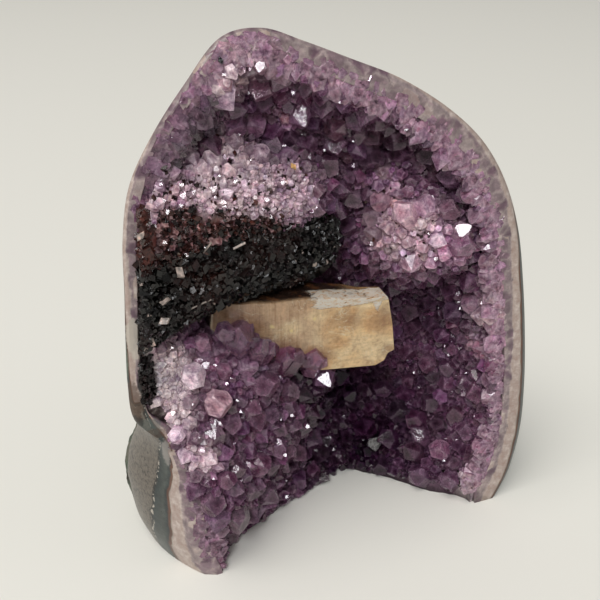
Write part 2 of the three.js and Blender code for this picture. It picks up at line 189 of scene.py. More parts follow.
def cloudNoise(places, size, seed):
    # value noise: random numbers on a lattice, blended smoothly between its corners, from -1 to 1
    p = places / size + seed * 17.31
    cell = np.floor(p).astype(np.int64)
    t = p - cell
    t = t * t * (3 - 2 * t)
    total = 0
    for corner in range(8):
        pick = np.array([corner & 1, corner >> 1 & 1, corner >> 2 & 1])
        c = cell + pick
        h = (c[..., 0] * 73856093) ^ (c[..., 1] * 19349663) ^ (c[..., 2] * 83492791)
        h = (h ^ (h >> 13)) * 1274126177 & 0x7FFFFFFF
        share = np.prod(np.where(pick == 1, t, 1 - t), axis=-1)
        total = total + share * (h % 10007) / 5003.0
    return total - 1


def tone(red, green, blue):
    # a colour as seen on a screen, 0 to 255, as the linear values that a shader takes
    c = np.array([red, green, blue]) / 255
    return np.where(c <= 0.04045, c / 12.92, ((c + 0.055) / 1.055) ** 2.4)


def welded(places, faceGroups):
    # vertices at one place become one; four-cornered faces that lose a corner become triangles
    _, first, which = np.unique(np.round(places, 4), axis=0, return_index=True, return_inverse=True)
    which = first[which.ravel()]
    groups = []
    for faces in faceGroups:
        faces = which[faces]
        if faces.shape[1] != 4:
            groups.append(faces)
            continue
        repeated = faces == np.roll(faces, -1, axis=1)
        groups.append(faces[repeated.sum(axis=1) == 0])
        thin = repeated.sum(axis=1) == 1
        if thin.any():
            groups.append(faces[thin][~repeated[thin]].reshape(-1, 3))
    used = np.unique(np.concatenate([g.ravel() for g in groups]))
    renumber = np.zeros(len(places), int)
    renumber[used] = np.arange(len(used))
    return used, [renumber[g] for g in groups if len(g)]


def makePiece(name, places, faceGroups, material, values=None, colours=None, soft=False, weld=False):
    # faceGroups holds one array of vertex numbers for each number of corners
    if weld:
        used, faceGroups = welded(places, faceGroups)
        places = places[used]
        values = {key: np.asarray(value).ravel()[used] for key, value in (values or {}).items()}
        colours = None if colours is None else colours[used]
    mesh = bpy.data.meshes.new(name)
    places = (np.asarray(places, float) - shell["origin"]) * 0.001
    mesh.vertices.add(len(places))
    mesh.vertices.foreach_set("co", places.astype(np.float32).ravel())
    corners = np.concatenate([np.asarray(g).ravel() for g in faceGroups])
    counts = np.concatenate([np.full(len(g), np.asarray(g).shape[1]) for g in faceGroups])
    mesh.loops.add(len(corners))
    mesh.loops.foreach_set("vertex_index", corners.astype(np.int32))
    mesh.polygons.add(len(counts))
    starts = np.concatenate([[0], np.cumsum(counts)[:-1]])
    mesh.polygons.foreach_set("loop_start", starts.astype(np.int32))
    mesh.update(calc_edges=True)
    mesh.polygons.foreach_set("use_smooth", np.full(len(counts), soft))
    for key, value in (values or {}).items():
        layer = mesh.attributes.new(key, "FLOAT", "POINT")
        layer.data.foreach_set("value", np.asarray(value, np.float32).ravel())
    if colours is not None:
        rgba = np.concatenate([colours, np.ones((len(colours), 1))], axis=1)
        layer = mesh.color_attributes.new("tint", "FLOAT_COLOR", "POINT")
        layer.data.foreach_set("color", rgba.astype(np.float32).ravel())
    mesh.validate()
    mesh.materials.append(material)
    piece = bpy.data.objects.new(name, mesh)
    bpy.context.collection.objects.link(piece)
    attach(piece, "root")
    return piece


def gridFaces(rows, columns):
    # four corners for each cell of a grid of vertices, row by row
    i, j = np.meshgrid(np.arange(rows - 1), np.arange(columns - 1), indexing="ij")
    a = (i * columns + j).ravel()
    return np.stack([a, a + columns, a + columns + 1, a + 1], -1)


def tubeFaces(rings, around):
    # four corners for each cell of a tube, ring by ring
    i, j = np.meshgrid(np.arange(rings - 1), np.arange(around), indexing="ij")
    a, b = i * around + j, i * around + (j + 1) % around
    return np.stack([a, b, b + around, a + around], -1).reshape(-1, 4)


def baseFaces(rows, m, gap=0):
    # the flat base at both ends of a sheet, between its outer line, the first m columns from the back
    # to the front, and its inner line, the last m; and across the columns of the gap between them
    faces = []
    for first, flip in ((0, True), ((rows - 1) * (2 * m + gap), False)):
        out, into = first + np.arange(m)[::-1], first + m + gap + np.arange(m)
        strip = np.stack([out[:-1], out[1:], into[1:], into[:-1]], -1)
        faces.append(strip[:, ::-1] if flip else strip)
        if gap:
            cap = (first + m - 1 + np.arange(gap + 2))[None, :]
            faces.append(cap if flip else cap[:, ::-1])
    return faces


class Field:
    # one output of a node in a material's tree; arithmetic and the methods add the nodes that follow it
    def __init__(self, tree, output=None):
        self.tree, self.output = tree, output

    def node(self, kind, settings=None, **links):
        # a node with its settings; its inputs, by name or as i and a number, are linked or set
        made = self.tree.nodes.new("ShaderNode" + kind)
        for key, value in (settings or {}).items():
            setattr(made, key, value)
        for key, value in links.items():
            socket = made.inputs[int(key[1:])] if key[1:].isdigit() else made.inputs[key]
            if isinstance(value, Field):
                value.to(socket)
            else:
                socket.default_value = value
        return made

    def out(self, kind, settings=None, output=0, **links):
        return Field(self.tree, self.node(kind, settings, **links).outputs[output])

    def to(self, socket):
        self.tree.links.new(self.output, socket)

    def math(self, operation, other, clamp=False):
        return self.out("Math", {"operation": operation, "use_clamp": clamp}, i0=self, i1=other)

    def __add__(self, other):
        return self.math("ADD", other)

    def __sub__(self, other):
        return self.math("SUBTRACT", other)

    def __rsub__(self, other):
        return self.out("Math", {"operation": "SUBTRACT"}, i0=other, i1=self)

    def __mul__(self, other):
        return self.math("MULTIPLY", other)

    def __abs__(self):
        return self.math("ABSOLUTE", 0.0)

    def vector(self, operation, output=0, **links):
        return self.out("VectorMath", {"operation": operation}, output, i0=self, **links)

    def attribute(self, name, output="Fac"):
        return self.out("Attribute", {"attribute_name": name}, output)

    def noise(self, scale, detail=4.0, rough=0.55, swirl=0.0):
        return self.out("TexNoise", None, "Fac", Vector=self, Scale=scale, Detail=detail, Roughness=rough,
                        Distortion=swirl)

    def cells(self, scale, feature="F1", output="Distance"):
        return self.out("TexVoronoi", {"feature": feature}, output, Vector=self, Scale=scale)

    def stretched(self, scale, turn=(0, 0, 0)):
        return self.out("Mapping", Vector=self, Rotation=turn, Scale=scale)

    def ramp(self, *stops, ease=False):
        # a colour ramp through stops of a position and a colour
        made = self.node("ValToRGB", i0=self)
        made.color_ramp.interpolation = "EASE" if ease else "LINEAR"
        while len(made.color_ramp.elements) < len(stops):
            made.color_ramp.elements.new(0.5)
        for element, (at, colour) in zip(made.color_ramp.elements, stops):
            element.position = at
            element.color = (*colour, 1)
        return Field(self.tree, made.outputs["Color"])

    def rise(self, low, high, ease=False):
        return self.ramp((low, (0, 0, 0)), (high, (1, 1, 1)), ease=ease)

    def fall(self, low, high, ease=False):
        return self.ramp((low, (1, 1, 1)), (high, (0, 0, 0)), ease=ease)

    def paint(self, share, colour, how="MIX"):
        # this colour with another laid over it by its share
        over = colour if isinstance(colour, Field) else (*colour, 1)
        return self.out("Mix", {"data_type": "RGBA", "blend_type": how}, 2, i0=share, i6=self, i7=over)

    def ballAt(self, middle, radii, grain, rough):
        # how far a place is from the middle of a stretched ball, in millimetres, 1 at its ragged surface
        away = self.vector("SUBTRACT", i1=[m * 0.001 for m in middle])
        away = away.vector("MULTIPLY", i1=[1000 / r for r in radii]).vector("LENGTH", "Value")
        return away.math("ADD", (self.noise(*grain) - 0.5) * rough, True)


def newMaterial(name, **settings):
    # a material, and the field of places that its nodes start from
    material = bpy.data.materials.new(name)
    material.use_nodes = True
    shader = material.node_tree.nodes["Principled BSDF"]
    for socket, value in settings.items():
        shader.inputs[socket.replace("_", " ")].default_value = value
    return material, Field(material.node_tree).out("TexCoord", None, "Object")


def finishMaterial(material, colour, rough, height, strength, distance, absorb=None, density=0.0):
    # colour, roughness and bump into the shader, and for clear crystal the colour that its depth takes on
    nodes = material.node_tree.nodes
    shader = nodes["Principled BSDF"]
    colour.to(shader.inputs["Base Color"])
    rough.to(shader.inputs["Roughness"])
    height.out("Bump", Strength=strength, Distance=distance, Height=height).to(shader.inputs["Normal"])
    if density:
        depth = height.out("VolumeAbsorption", Color=(*absorb, 1), Density=density)
        depth.to(nodes["Material Output"].inputs["Volume"])
    return material


rockLook = {
    "purple": tone(134, 108, 122), "mauve": tone(152, 130, 138), "lilac": tone(170, 152, 156),
    "quartz": tone(203, 192, 186), "skin": tone(186, 178, 166), "ironLine": tone(120, 82, 66),
    "celadonite": tone(84, 92, 88), "celadoniteDark": tone(50, 62, 64), "crack": tone(28, 26, 24),
    "basalt": tone(98, 90, 82), "basaltPale": tone(116, 107, 96), "pores": tone(50, 45, 40),
    "stain": tone(78, 56, 42), "rind": tone(130, 124, 110), "rindDark": tone(62, 58, 50),
    "rindGreen": tone(106, 120, 104), "rust": tone(134, 98, 66), "lime": tone(186, 180, 164),
    "fibre": tone(86, 74, 74),
}
# Stains and patches on the polished rock: middle, radii, colour and strength
rockSpots = (
    ((-64.5, -26.5, 66), (3.0, 6, 8), "stain", 0.7), ((-65.5, -24, 82), (1.8, 3, 10), "rindGreen", 0.6),
    ((-60.2, -26, 71.0), (2.5, 4, 7.5), "crack", 0.97),
    ((-61.0, -29, 58), (4.0, 4, 3.4), "celadonite", 0.6),
    ((-59.5, -29, 55.5), (3.4, 4, 2.0), "stain", 0.45), ((-64.0, -27, 60), (2.2, 4, 2.6), "crack", 0.7),
    ((-57.0, -31, 47), (1.6, 5, 7), "quartz", 0.35), ((-66, -22, 40), (5, 9, 6), "pores", 0.35),
    ((-61.5, -24.5, 86), (2.4, 4, 7), "skin", 0.8), ((-48, -35, 3), (3, 5, 3), "mauve", 0.5),
)


def rockMaterial():
    # colour by the layer number: amethyst to 0, quartz to 1, iron line to 1.2, celadonite to 2, and
    # basalt after the crack; a rough rind where the polish ends
    look = rockLook
    material, where = newMaterial("polishedRock", Roughness=0.3, IOR=1.5)
    layer, along, polish = (where.attribute(name) for name in ("layer", "along", "polish"))
    moved = layer + (where.noise(190, 6, 0.62) - 0.5) * 0.42
    bands = ((moved + 1) * 0.25).ramp(*((at, look[name]) for at, name in (
        (0.0, "purple"), (0.22, "purple"), (0.262, "mauve"), (0.32, "quartz"), (0.47, "quartz"),
        (0.488, "skin"), (0.503, "ironLine"), (0.53, "ironLine"), (0.56, "celadoniteDark"),
        (0.62, "celadonite"), (0.725, "celadoniteDark"), (0.75, "crack"), (0.765, "basalt"),
        (1.0, "basalt"))))
    # the amethyst that the front cut shows: cells with pale borders
    drift = where.out("TexNoise", None, "Color", Vector=where, Scale=260.0, Detail=4.0)
    moving = where.vector("ADD", i1=drift.vector("SCALE", Scale=0.004))
    pick = where.out("SeparateColor", i0=moving.cells(230.0, output="Color"))
    cut = pick.ramp(*((at, look[name]) for at, name in (
        (0.1, "purple"), (0.45, "mauve"), (0.75, "lilac"), (0.95, "quartz"))))
    cut = cut.paint(moving.cells(230.0, "DISTANCE_TO_EDGE").fall(0.0, 0.2) * 0.5, look["quartz"])
    bands = bands.paint((moved + (pick - 0.5) * 0.3).fall(0.12, 0.24), cut)
    mottle = where.noise(380, 7, 0.7).ramp(
        (0.34, tone(90, 84, 86)), (0.5, tone(140, 139, 139)), (0.66, tone(204, 200, 198)))
    bands = bands.paint(0.55, mottle, "OVERLAY")
    streaks = where.out("CombineXYZ", i0=along * 1.3, i1=layer * 1.4).noise(1.4, 5)
    bands = bands.paint(streaks * 0.6, look["fibre"], "SOFT_LIGHT")
    # speckled basalt, the dotted crack before it, and the stains
    speckle = where.noise(900, 5, 0.7).ramp(
        (0.36, look["pores"]), (0.47, look["basalt"]), (0.6, look["basaltPale"]))
    polished = bands.paint(moved.math("GREATER_THAN", 2.05) * 0.85, speckle)
    dots = where.noise(650, 3, 0.6).rise(0.52, 0.58)
    polished = polished.paint(abs(moved - 1.97).fall(0.02, 0.06) * dots, look["skin"])
    for middle, radii, name, strength in rockSpots:
        spot = where.ballAt(middle, radii, (500, 5, 0.65), 1.0).fall(0.82, 1.0)
        polished = polished.paint(spot * strength, look[name])
    # the natural rind: green and brown patches, rust, lime and pits, with painted shade in each pit
    rind = where.noise(60, 7, 0.66).ramp(
        (0.3, look["rindDark"]), (0.44, look["rindGreen"]), (0.56, look["rind"]), (0.68, look["rindGreen"]))
    rind = rind.paint(where.noise(110, 6, 0.7, 0.5).rise(0.56, 0.68) * 0.6, look["rust"])
    rind = rind.paint(where.noise(170, 7, 0.75).rise(0.6, 0.68) * 0.55, look["lime"])
    pits = moving.cells(420.0, "SMOOTH_F1")
    # painted shade: each pit darkens towards its middle
    rind = rind.paint(0.75, pits.ramp((0.08, (0.25, 0.23, 0.2)), (0.3, (1, 1, 1))), "MULTIPLY")
    rind = rind.paint(where.noise(700, 4, 0.7) * 0.5, look["rindDark"])
    dull = (0.82 - polish * 0.58) + where.noise(300, 3) * 0.12
    height = where.noise(95, 8, 0.68) + where.noise(1300, 4, 0.65) * 0.2 + pits * 0.35
    return finishMaterial(material, rind.paint(polish, polished), dull, height, 1.0 - polish * 0.93, 0.0028)


amethyst = {
    "slab": 3.0,  # height of the valleys between the points above the hollow's wall
    "deep": tone(108, 40, 98), "middle": tone(160, 100, 146), "pale": tone(206, 168, 182),
    "milk": tone(226, 198, 200), "white": tone(250, 240, 234), "rust": tone(104, 58, 52),
    "black": tone(12, 10, 11),
    "baseTries": 700, "fine": 1.2,  # more of them along the base, and below which radius they are fine
    "bareEdge": (0.655, 0.795),  # shares of the way round between which the ledge meets the front edge
    "sizes": ((3000, 2.4, 4.5), (18000, 1.5, 2.4), (90000, 0.75, 1.5)),  # tries, and radii in millimetres
    "crowding": 0.66,  # how close two crystals may come, by the sum of their radii
    "darkening": (0.91, 0.96, 0.89),  # how much of each colour the painted shade and darker tone take away
}


def crystalMaterial(name, transmission, roughness, absorb=(1, 1, 1), density=0.0, rippled=0.28, zoned=0.6):
    # tinted see-through crystal: a deeper heart and a paler border, partly the crystal's own colour and
    # partly painted highlight, and a fine painted highlight line along each edge of a face, with clouded
    # zones, grit and thin pale wisps
    material, where = newMaterial(name, IOR=1.544, Roughness=roughness, Transmission_Weight=transmission,
                                  Specular_IOR_Level=0.36)
    tint, edge = where.attribute("tint", "Color"), where.attribute("edge")
    # painted highlight: the border and the fine line brighten each face towards its edges, where light
    # catches them
    heart, border, line = (where.out("Gamma", Color=tint, Gamma=power) for power in (1.42, 0.82, 0.6))
    body = heart.paint(edge.rise(0.0, 0.62, True), tint).paint(edge.rise(0.6, 0.96), border)
    broken = where.noise(420, 4, 0.6) * 0.06
    body = body.paint((edge - broken).rise(0.905, 0.955) * 0.65, line)
    zones = where.noise(400, 6, 0.68, 0.6).ramp(
        (0.37, (0.28, 0.15, 0.32)), (0.47, (0.8, 0.72, 0.82)), (0.55, (1.15, 1.12, 1.15)),
        (0.66, (1.9, 1.8, 1.85)))
    grit = where.noise(1000, 4, 0.7).ramp(
        (0.38, (0.55, 0.45, 0.58)), (0.5, (1, 1, 1)), (0.62, (1.35, 1.3, 1.35)))
    body = body.paint(zoned, zones, "MULTIPLY").paint(0.6, grit, "MULTIPLY")
    wisps = abs(where.noise(300, 4, 0.6, 1.6) - 0.5).fall(0.0, 0.02) * 0.3
    wisps = wisps.math("ADD", where.noise(1400, 3, 0.7).rise(0.58, 0.66) * 0.3, True)
    ripples = where.noise(260, 3, 0.5) + where.noise(1300, 3, 0.6) * 0.3
    return finishMaterial(material, body.paint(wisps, line), wisps * (0.6 * rippled) + roughness, ripples,
                          rippled, 0.0006, absorb, density)


def blackMaterial():
    material, where = newMaterial("goethite", Roughness=0.1, IOR=1.5, Specular_IOR_Level=0.4)
    grime = where.noise(800, 4, 0.6).ramp(
        (0.35, (0.3, 0.28, 0.28)), (0.6, (1.2, 1.05, 1.0)), (0.72, (2.4, 1.7, 1.5)))
    colour = where.attribute("tint", "Color").paint(0.8, grime, "MULTIPLY")
    dull, height = where.noise(350, 3) * 0.18, where.noise(2200, 3, 0.6)
    return finishMaterial(material, colour, dull, height, 0.6, 0.0002)


calciteLook = {
    "honey": tone(210, 158, 106), "brown": tone(132, 86, 56), "gold": tone(240, 194, 136),
    "straw": tone(255, 226, 178), "cream": tone(255, 246, 232), "shadow": tone(64, 46, 38),
    "greyish": tone(196, 164, 138), "paintedShadow": tone(44, 32, 28), "fault": tone(255, 240, 206),
    "paintedGlint": tone(255, 228, 160),
    "transmission": 0.36, "absorb": tone(240, 204, 150), "density": 10.0,
    # inside the bar, by middle and radii: small painted glints, soft brown clouds and soft painted glow
    "spots": (((-19.5, -20.2, 77.5), (1.6, 3, 1.6)), ((-9.0, -20.8, 78.8), (1.3, 3, 1.1)),
              ((-6.0, -21.0, 78.0), (1.1, 3, 1.1)), ((-13.5, -20.5, 75.0), (1.0, 3, 1.2))),
    "clouds": (((5, -21.5, 76), (9, 9, 6)), ((16, -22, 74), (6, 9, 8)), ((-25, -20, 79), (8, 9, 6)),
               ((-4, -21, 64), (8, 9, 5)), ((19, -22.5, 62), (5, 9, 4))),
    "paintedGlows": (((-14, -20.5, 76), (7, 9, 5)), ((10, -22, 66), (12, 9, 6)), ((-5, -21, 79), (6, 9, 3))),
}


def calciteMaterial():
    # cloudy honey crystal: faint upright streaks at the left, a few level waves and slanted strokes at
    # the right, thin faults, painted glints and painted glow inside, a painted shadow on the top and left end
    # and cream flakes by attributes
    look = calciteLook
    material, where = newMaterial("honeyCalcite", IOR=1.6, Roughness=0.18,
                                  Transmission_Weight=look["transmission"])
    share, shade, flakes = (where.attribute(name) for name in ("rightward", "shade", "flakes"))
    colour = where.noise(80, 3, 0.45, 0.3).ramp(
        (0.36, look["honey"]), (0.48, look["gold"]), (0.62, look["straw"]))
    colour = colour.paint((1 - share) * 0.65, look["greyish"])
    swirl = ((200, 6, 0.6, 0.2), 1.1)
    # brown clouds, and soft painted glow in pale straw
    for kind, name, strength in (("clouds", "brown", 0.55), ("paintedGlows", "straw", 0.75)):
        for middle, radii in look[kind]:
            soft = where.ballAt(middle, radii, *swirl).fall(0.0, 1.0, True)
            colour = colour.paint(soft * strength, look[name])
    streaks = where.stretched((800, 300, 70)).noise(1.0, 4, 0.6).ramp(
        (0.35, (0.78, 0.73, 0.68)), (0.5, (1, 1, 1)), (0.65, (1.16, 1.14, 1.12)))
    colour = colour.paint(1 - share * 0.8, streaks, "MULTIPLY")
    waves = where.stretched((50, 60, 260), (0, 0.2, 0)).noise(1.0, 3, 0.5)
    colour = colour.paint(abs(waves - 0.5).fall(0.0, 0.02) * share * 0.35, look["straw"])
    grit = where.noise(900, 5, 0.7).ramp(
        (0.36, (0.74, 0.7, 0.66)), (0.5, (1, 1, 1)), (0.66, (1.18, 1.17, 1.15)))
    strokes = where.stretched((120, 200, 900), (0, 0.5, 0)).noise(1.0, 5, 0.65).ramp(
        (0.4, (0.8, 0.76, 0.72)), (0.5, (1, 1, 1)), (0.62, (1.3, 1.28, 1.24)))
    colour = colour.paint(0.7, grit, "MULTIPLY").paint(share * 0.3, strokes, "MULTIPLY")
    faults = abs(where.noise(95, 5, 0.6, 0.9) - 0.5).fall(0.0, 0.012)
    colour = colour.paint(faults * where.noise(130, 3, 0.5).rise(0.46, 0.58) * 0.7, look["fault"])
    colour = colour.paint(where.noise(170, 6, 0.7, 0.4).rise(0.54, 0.66) * 0.4, look["brown"])
    # painted glints: small bright spots inside the bar
    for middle, radii in look["spots"]:
        colour = colour.paint(where.ballAt(middle, radii, *swirl).fall(0.45, 0.85, True), look["paintedGlint"])
    # painted shadow by the shade attribute, in browns mottled by noise
    paintedShadow = where.noise(240, 5, 0.65).ramp(
        (0.38, look["paintedShadow"]), (0.54, look["shadow"]), (0.68, look["brown"]))
    flat = where.stretched((190, 320, 620), (0, 0, 0.3))
    grain = flat.noise(1.0, 8, 0.8, 0.5)
    flaky = (flakes + grain - 0.9).rise(0.4, 0.5)
    creamy = flat.noise(2.6, 8, 0.78, 0.9).ramp(
        (0.36, look["brown"]), (0.43, look["gold"]), (0.48, look["cream"]))
    colour = colour.paint(shade, paintedShadow).paint(flaky, creamy)
    height = strokes * 0.25 + flaky * grain * 1.6
    return finishMaterial(material, colour, flaky * 0.45 + 0.08, height, 0.6, 0.0005, look["absorb"],
                          look["density"])


rock = {
    "across": 450, "deep": 80, "rimColumns": 12,
    "ironLine": 0.7,  # its width
    "basaltStep": 12,  # millimetres of basalt to one layer number
    "wayRound": 430,  # length of the front edge
    "rindRelief": 1.7,  # how far the natural rind's knobs stand in and out
    # where the layers end on the polished surface, by the share of the way round: millimetres past the
    # front edge's outer line, so a negative value lies on the flat front edge
    "layerShare": (0, 0.1, 0.2, 0.27, 0.4, 0.55, 0.7, 0.78, 0.79, 0.798, 0.822, 0.838, 0.85, 0.866, 0.905,
                   0.951, 0.98, 1.0),
    "quartzEnd": (-0.5, -0.5, -0.3, 4.0, 8.0, 6.0, 2.2, 0.4, 0.2, -4.6, -4.5, -2.6, -0.6, 1.6, 7.8, 11.3,
                  15.0, 15.5),
    "celadoniteEnd": (5.5, 5.0, 4.0, 9.0, 12.0, 9.0, 4.6, 3.6, 3.4, -3.4, -3.0, 0.6, 3.6, 8.0, 13.9, 20.5,
                      23.4, 24.0),
    # where the amethyst begins on the front edge, millimetres inwards of its outer line
    "amethystStart": (6.5, 6, 4.0, 1.4, -0.4, -1.6, 2.0, 3, 4, 5.2, 5.2, 4.4, 2, -1.2, -2.6, -3.4, -3, -2),
    "polishEnd": (5, 5, 5, 5, 5, 4.5, 7.5, 12, 12, 12, 17, 20, 24, 27, 30, 32, 33, 33),
}


def shellSurface():
    # the outer surface with the rind's knobs, the inner one and the flat edge between them; each place's
    # layer number by the way past the front edge's outer line, and its share of polish
    s = np.linspace(0, 1, rock["across"] + 1)[:, None]
    w = np.sin(np.linspace(0, 1, rock["deep"] + 1) * math.pi / 2)[None, :]
    outer, inner = outerPoint(s, w), hollowPoint(s, w)
    steps = np.linalg.norm(np.diff(outer, axis=1), axis=-1)
    past = np.concatenate([np.zeros((len(s), 1)), np.cumsum(steps, axis=1)], axis=1)
    quartzEnd, celadoniteEnd, polishEnd, start = (np.interp(s, rock["layerShare"], rock[name]) for name in (
        "quartzEnd", "celadoniteEnd", "polishEnd", "amethystStart"))
    wall = np.linalg.norm(outer[:, :1] - inner[:, :1], axis=-1)
    iron = rock["ironLine"]

    def layerAt(d):
        # below 0 in the amethyst, 1 where the quartz ends, 1.2 after the iron line, 2 at the crack
        inQuartz = np.maximum(-1, (d + start) / np.maximum(0.5, quartzEnd + start))
        inIron = 1 + 0.2 * (d - quartzEnd) / iron
        inGreen = 1.2 + 0.8 * (d - quartzEnd - iron) / np.maximum(0.5, celadoniteEnd - quartzEnd - iron)
        beyond = 2 + (d - celadoniteEnd) / rock["basaltStep"]
        return np.where(d < quartzEnd, inQuartz, np.where(d < quartzEnd + iron, inIron,
                        np.where(d < celadoniteEnd, inGreen, beyond)))

    edge = past + 2.5 * cloudNoise(outer, 9, 3)
    polish = 1 - smooth(0, 2.2, edge - polishEnd)
    out = -normalOf(outerPoint, np.clip(s, 0.01, 0.99), np.clip(w, 0, 0.99))
    knobs = 0.7 * cloudNoise(outer, 11, 5) + 0.45 * cloudNoise(outer, 4.5, 6) + 0.25 * cloudNoise(outer, 2, 7)
    deepening = 1 - smooth(0.93, 1, w)
    outer = outer + out * (rock["rindRelief"] * (knobs - 0.4) * (1 - polish) * deepening)[..., None]
    outer[..., 2] = np.where((s <= 0) | (s >= 1), 0, np.maximum(0, outer[..., 2]))
    across = np.linspace(0, 1, rock["rimColumns"] + 1)[1:-1][None, :, None]
    rim = mix(outer[:, :1], inner[:, :1], across)
    return s, outer, inner, rim, layerAt(past), layerAt(-across[..., 0] * wall), polish


def makeRock():
    # one sheet: the outer surface from its back to the front edge, across the edge, and in to the back
    s, outer, inner, rim, layer, rimLayer, polish = shellSurface()
    n, m, k = rock["across"] + 1, rock["deep"] + 1, rock["rimColumns"] - 1
    sheet = np.concatenate([outer[:, ::-1], rim, inner], axis=1)
    layers = np.concatenate([layer[:, ::-1], rimLayer, np.zeros((n, m))], axis=1)
    shines = np.concatenate([polish[:, ::-1], np.ones((n, k + m))], axis=1)
    columns = sheet.shape[1]
    along = np.broadcast_to(s * rock["wayRound"], (n, columns))
    return makePiece("rockShell", sheet.reshape(-1, 3), [gridFaces(n, columns)] + baseFaces(n, m, k),
                     rockMaterial(), {"layer": layers, "polish": shines, "along": along}, soft=True,
                     weld=True)


print("rock shell")
rockShell = makeRock()
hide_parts("rock_shell")

# Places on the crust, in the finished part's frame, with their own looks: place, radius, share of pale
# colour, share of milkiness, the size of the crystals there and the share of white
patches = (
    ((-30, -19, 122), 19, 0.9, 0.9, 0.42, 0.42), ((-46, -20, 121), 12, 0.8, 0.85, 0.42, 0.3),
    ((-12, -16, 120), 11, 0.7, 0.8, 0.5, 0.35), ((-28, -14, 131), 10, 0.85, 0.85, 0.75, 0.45),
    ((26, -17, 100), 15, 0.95, 0.85, 0.9, 0.2), ((42, -23, 97), 7, 0.8, 0.6, 1.3, 0.1),
    ((20, -10, 115), 6, 0.6, 0.7, 0.8, 0.0), ((-10, -6, 138), 6, 0.35, 0.5, 0.9, 0.0),
    ((-27, -13, 153), 10, 0.7, 0.7, 0.85, 0.35), ((-53, -25, 70), 9, 1.0, 0.95, 0.45, 1.0),
    ((-53.5, -29, 60), 7, 0.95, 0.85, 0.5, 0.65), ((-49, -22, 77), 6, 0.9, 0.8, 0.55, 0.7),
    ((-58.5, -25, 84), 5, 1.0, 1.0, 0.4, 1.0), ((-47, -33, 46), 6, 0.8, 0.6, 0.7, 0.5),
    ((-25, -20, 68), 9, 0.5, 0.3, 1.0, 0.15), ((-40, -22, 70), 8, 0.5, 0.3, 1.0, 0.1),
    ((53, -19, 55), 7, 0.6, 0.5, 0.9, 0.1), ((54, -24, 72), 8, 0.7, 0.6, 0.9, 0.25),
    ((-36, -8, 136), 7, 0.4, 0.2, 1.0, 0.0), ((13, -3, 110), 7, 0.4, 0.2, 1.1, 0.0),
    ((52, -27, 77), 8, 0.6, 0.5, 0.8, 0.2), ((49, -33, 4), 6, 0.9, 0.9, 0.6, 0.7),
)
# The black fissure between the left wall and the swelling below the ledge, and the bare grey rock
# below it: middles, radii
fissure = {"middle": (-58.8, -26.5, 72.5), "radii": (3.2, 7, 8.5)}
bareRock = {"middle": (-58.8, -27.5, 59.5), "radii": (3.8, 7, 5.5)}
# Over the ledge's tip only small crystals stand
overLedge = {"middle": (-11, -17, 109), "radii": (9, 9, 6)}
# The mound's lower edge, where it turns reddish brown: x and z
rustLine = ((-58, 122), (-41, 121), (-31, 117.5), (-22, 115), (-12, 112))
# Places darkened by painted shade, deep in the hollow and behind its top edge: middle, radius and share of
# darkness
shadedPlaces = (
    ((-39, -11, 142), 14, 0.95), ((-45, -14, 132), 7, 0.8), ((-23, -4, 134), 14, 0.52),
    ((0, -5, 134), 14, 0.42), ((22, -7, 128), 12, 0.66), ((50, -12, 54), 14, 0.25),
    ((18, -5, 10), 32, 1.0), ((14, -2, 32), 25, 1.0), ((38, -3, 62), 16, 0.7), ((32, -6, 30), 20, 0.6),
    ((8, -3, 66), 14, 0.8),
)
# Large crystals by the two parameters of the crust, with radius, share of pale colour and milkiness
largeCrystals = (
    (0.776, 0.670, 4.4, 0.85, 0.5), (0.684, 0.807, 5.2, 0.3, 0.2), (0.664, 0.887, 4.6, 0.5, 0.4),
    (0.264, 0.636, 4.2, 0.5, 0.3), (0.199, 0.266, 2.8, 0.2, 0.1), (0.358, 0.692, 3.0, 0.2, 0.1),
    (0.411, 0.752, 3.4, 0.1, 0.1), (0.141, 0.467, 3.2, 0.2, 0.1), (0.640, 0.949, 3.6, 0.2, 0.1),
    (0.881, 0.522, 3.2, 0.2, 0.1), (0.785, 0.871, 3.2, 0.2, 0.1), (0.048, 0.533, 4.6, 0.55, 0.2),
    (0.062, 0.282, 3.6, 0.5, 0.3), (0.151, 0.629, 3.6, 0.1, 0.1), (0.136, 0.263, 3.4, 0.6, 0.3),
    (0.193, 0.719, 3.6, 0.0, 0.0), (0.17, 0.317, 3.6, 0.6, 0.4), (0.103, 0.38, 3.2, 0.3, 0.1),
    (0.09, 0.553, 3.2, 0.1, 0.0), (0.2, 0.541, 3.2, 0.2, 0.1), (0.586, 0.924, 3.6, 0.4, 0.2),
    (0.736, 0.637, 3.4, 0.5, 0.3), (0.621, 0.957, 3.4, 0.2, 0.0), (0.813, 0.848, 3.8, 0.1, 0.0),
    (0.876, 0.506, 3.2, 0.35, 0.2), (0.9, 0.706, 3.6, 0.1, 0.0), (0.745, 0.65, 2.8, 0.6, 0.4),
    (0.352, 0.946, 3.8, 0.1, 0.0), (0.434, 0.491, 4.4, 0.35, 0.3), (0.404, 0.586, 4.2, 0.1, 0.0),
    (0.388, 0.412, 3.8, 0.15, 0.0), (0.341, 0.511, 3.6, 0.0, 0.0), (0.303, 0.508, 3.8, 0.2, 0.1),
    (0.385, 0.727, 4.2, 0.3, 0.1), (0.514, 0.576, 4.2, 0.3, 0.2), (0.577, 0.412, 4.0, 0.1, 0.0),
    (0.469, 0.606, 4.0, 0.0, 0.0),
)
